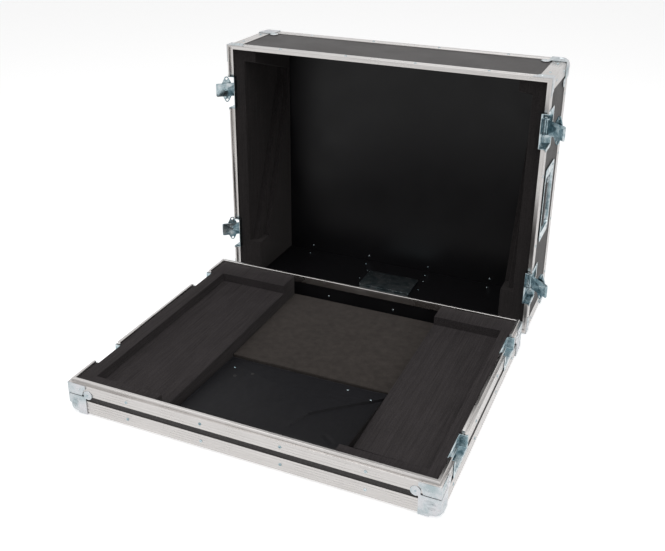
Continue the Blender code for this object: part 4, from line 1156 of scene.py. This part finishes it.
def makeLiner(side):
    low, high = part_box("lid_foam_" + side)
    block = addBlock("lidFoam" + side.capitalize(), low, high)
    sign, face = (-1, high.x) if side == "left" else (1, low.x)
    for depth, foot, slope in liner["levels"]:
        ends = sorted((face - sign * 0.01, face + sign * depth))
        combineWith(block, [addOutline("recess", linerRecess(foot, slope), ends[0], ends[1])], "DIFFERENCE")
    clear = liner["clear"]
    for level in latch["levels"]:
        nodeName = "latch_dish_%s_%s" % (level, side)
        dishLow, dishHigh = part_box(nodeName)
        inset = liner["dishInset"]
        cut = notchFor(nodeName, side, clear, (dishLow.y - 0.01, dishLow.z + inset),
                       (dishHigh.y - liner["dishBack"] + clear, dishHigh.z - inset))
        combineWith(block, [cut], "DIFFERENCE")
    nodeName = "handle_dish_" + side
    dishLow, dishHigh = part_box(nodeName)
    insetY, insetZ = liner["handleIn"] - clear, liner["handleEnd"] - clear
    cut = notchFor(nodeName, side, clear, (dishLow.y + insetY, dishLow.z + insetZ),
                   (dishHigh.y - insetY, dishHigh.z - insetZ))
    combineWith(block, [cut], "DIFFERENCE")
    setPad(block, "lid", "lid_foam_" + side, finish["lining"], liner)


for side in ("left", "right"):
    makeLiner(side)
discard(rivetMaster)
print("liners are cut")


# stage: floor, light and camera

camera = {
    "place": (0.7690, -1.7918, 1.1936),
    "yaw": -23.474, "pitch": 23.219, "roll": 0.404,
    "focal": 881.4, "width": 665.0, "shiftRight": 0.73, "shiftUp": -55.76,   # in pixels of the frame
}


def makeCamera():
    data = bpy.data.cameras.new("studioCamera")
    data.sensor_width = 36.0
    data.lens = camera["focal"] * data.sensor_width / camera["width"]
    data.shift_x = camera["shiftRight"] / camera["width"]
    data.shift_y = camera["shiftUp"] / camera["width"]
    piece = linkPiece("studioCamera", data)
    yaw, pitch, roll = (math.radians(camera[name]) for name in ("yaw", "pitch", "roll"))
    forward = Vector((math.sin(yaw) * math.cos(pitch), math.cos(yaw) * math.cos(pitch), -math.sin(pitch)))
    right = Vector((math.cos(yaw), -math.sin(yaw), 0.0))
    up = right.cross(forward)
    rightRolled = right * math.cos(roll) + up * math.sin(roll)
    upRolled = up * math.cos(roll) - right * math.sin(roll)
    matrix = Matrix((rightRolled, upRolled, -forward)).transposed().to_4x4()
    matrix.translation = camera["place"]
    piece.matrix_world = matrix
    bpy.context.scene.camera = piece


studio = {
    "floorSize": 14.0, "floorGlow": 0.62, "worldLight": 0.34,
    "floor": {"Base Color": (0.80, 0.80, 0.80, 1.0), "Roughness": 0.9, "Specular IOR Level": 0.1,
              "Emission Color": (1.0, 1.0, 1.0, 1.0)},
    "lamps": [
        # name, place, aimed at, size, watts
        ("keyPanel", (-1.2, -1.8, 2.8), (0.0, 0.0, 0.2), 2.4, 16.0),
        ("fillPanel", (2.4, -1.0, 2.4), (0.0, 0.2, 0.2), 2.4, 12.0),
        ("topPanel", (0.1, -0.2, 3.2), (0.0, 0.0, 0.2), 2.4, 34.0),
    ],
}


def seenOrReflected(tree):
    path = tree.nodes.new("ShaderNodeLightPath")
    total = path.outputs["Is Camera Ray"]
    for name in ("Is Glossy Ray", "Is Transmission Ray"):
        node = tree.nodes.new("ShaderNodeMath")
        node.operation = "MAXIMUM"
        tree.links.new(total, node.inputs[0])
        tree.links.new(path.outputs[name], node.inputs[1])
        total = node.outputs["Value"]
    return total


def makeStage():
    bpy.ops.mesh.primitive_plane_add(size=studio["floorSize"], location=(0.0, 0.0, 0.0))
    floor = nameIt("studioFloor")
    bench = Bench("paleFloor")
    bench.setValues(studio["floor"])
    bench.feed("Emission Strength", bench.math("MULTIPLY", seenOrReflected(bench.tree), studio["floorGlow"]))
    giveMaterial(floor, bench.material)

    world = bpy.data.worlds.new("whiteRoom")
    world.use_nodes = True
    bpy.context.scene.world = world
    tree = world.node_tree
    background = tree.nodes["Background"]
    background.inputs["Color"].default_value = (1.0, 1.0, 1.0, 1.0)
    level = tree.nodes.new("ShaderNodeMapRange")
    level.inputs["To Min"].default_value = studio["worldLight"]
    tree.links.new(seenOrReflected(tree), level.inputs["Value"])
    tree.links.new(level.outputs["Result"], background.inputs["Strength"])

    for name, place, target, size, watts in studio["lamps"]:
        data = bpy.data.lights.new(name, "AREA")
        data.shape = "SQUARE"
        data.size = size
        data.energy = watts
        lamp = linkPiece(name, data)
        lamp.location = place
        lamp.rotation_euler = (Vector(target) - Vector(place)).to_track_quat("-Z", "Y").to_euler()


makeCamera()
makeStage()
bpy.context.scene.view_settings.view_transform = "Standard"
print("stage is set")
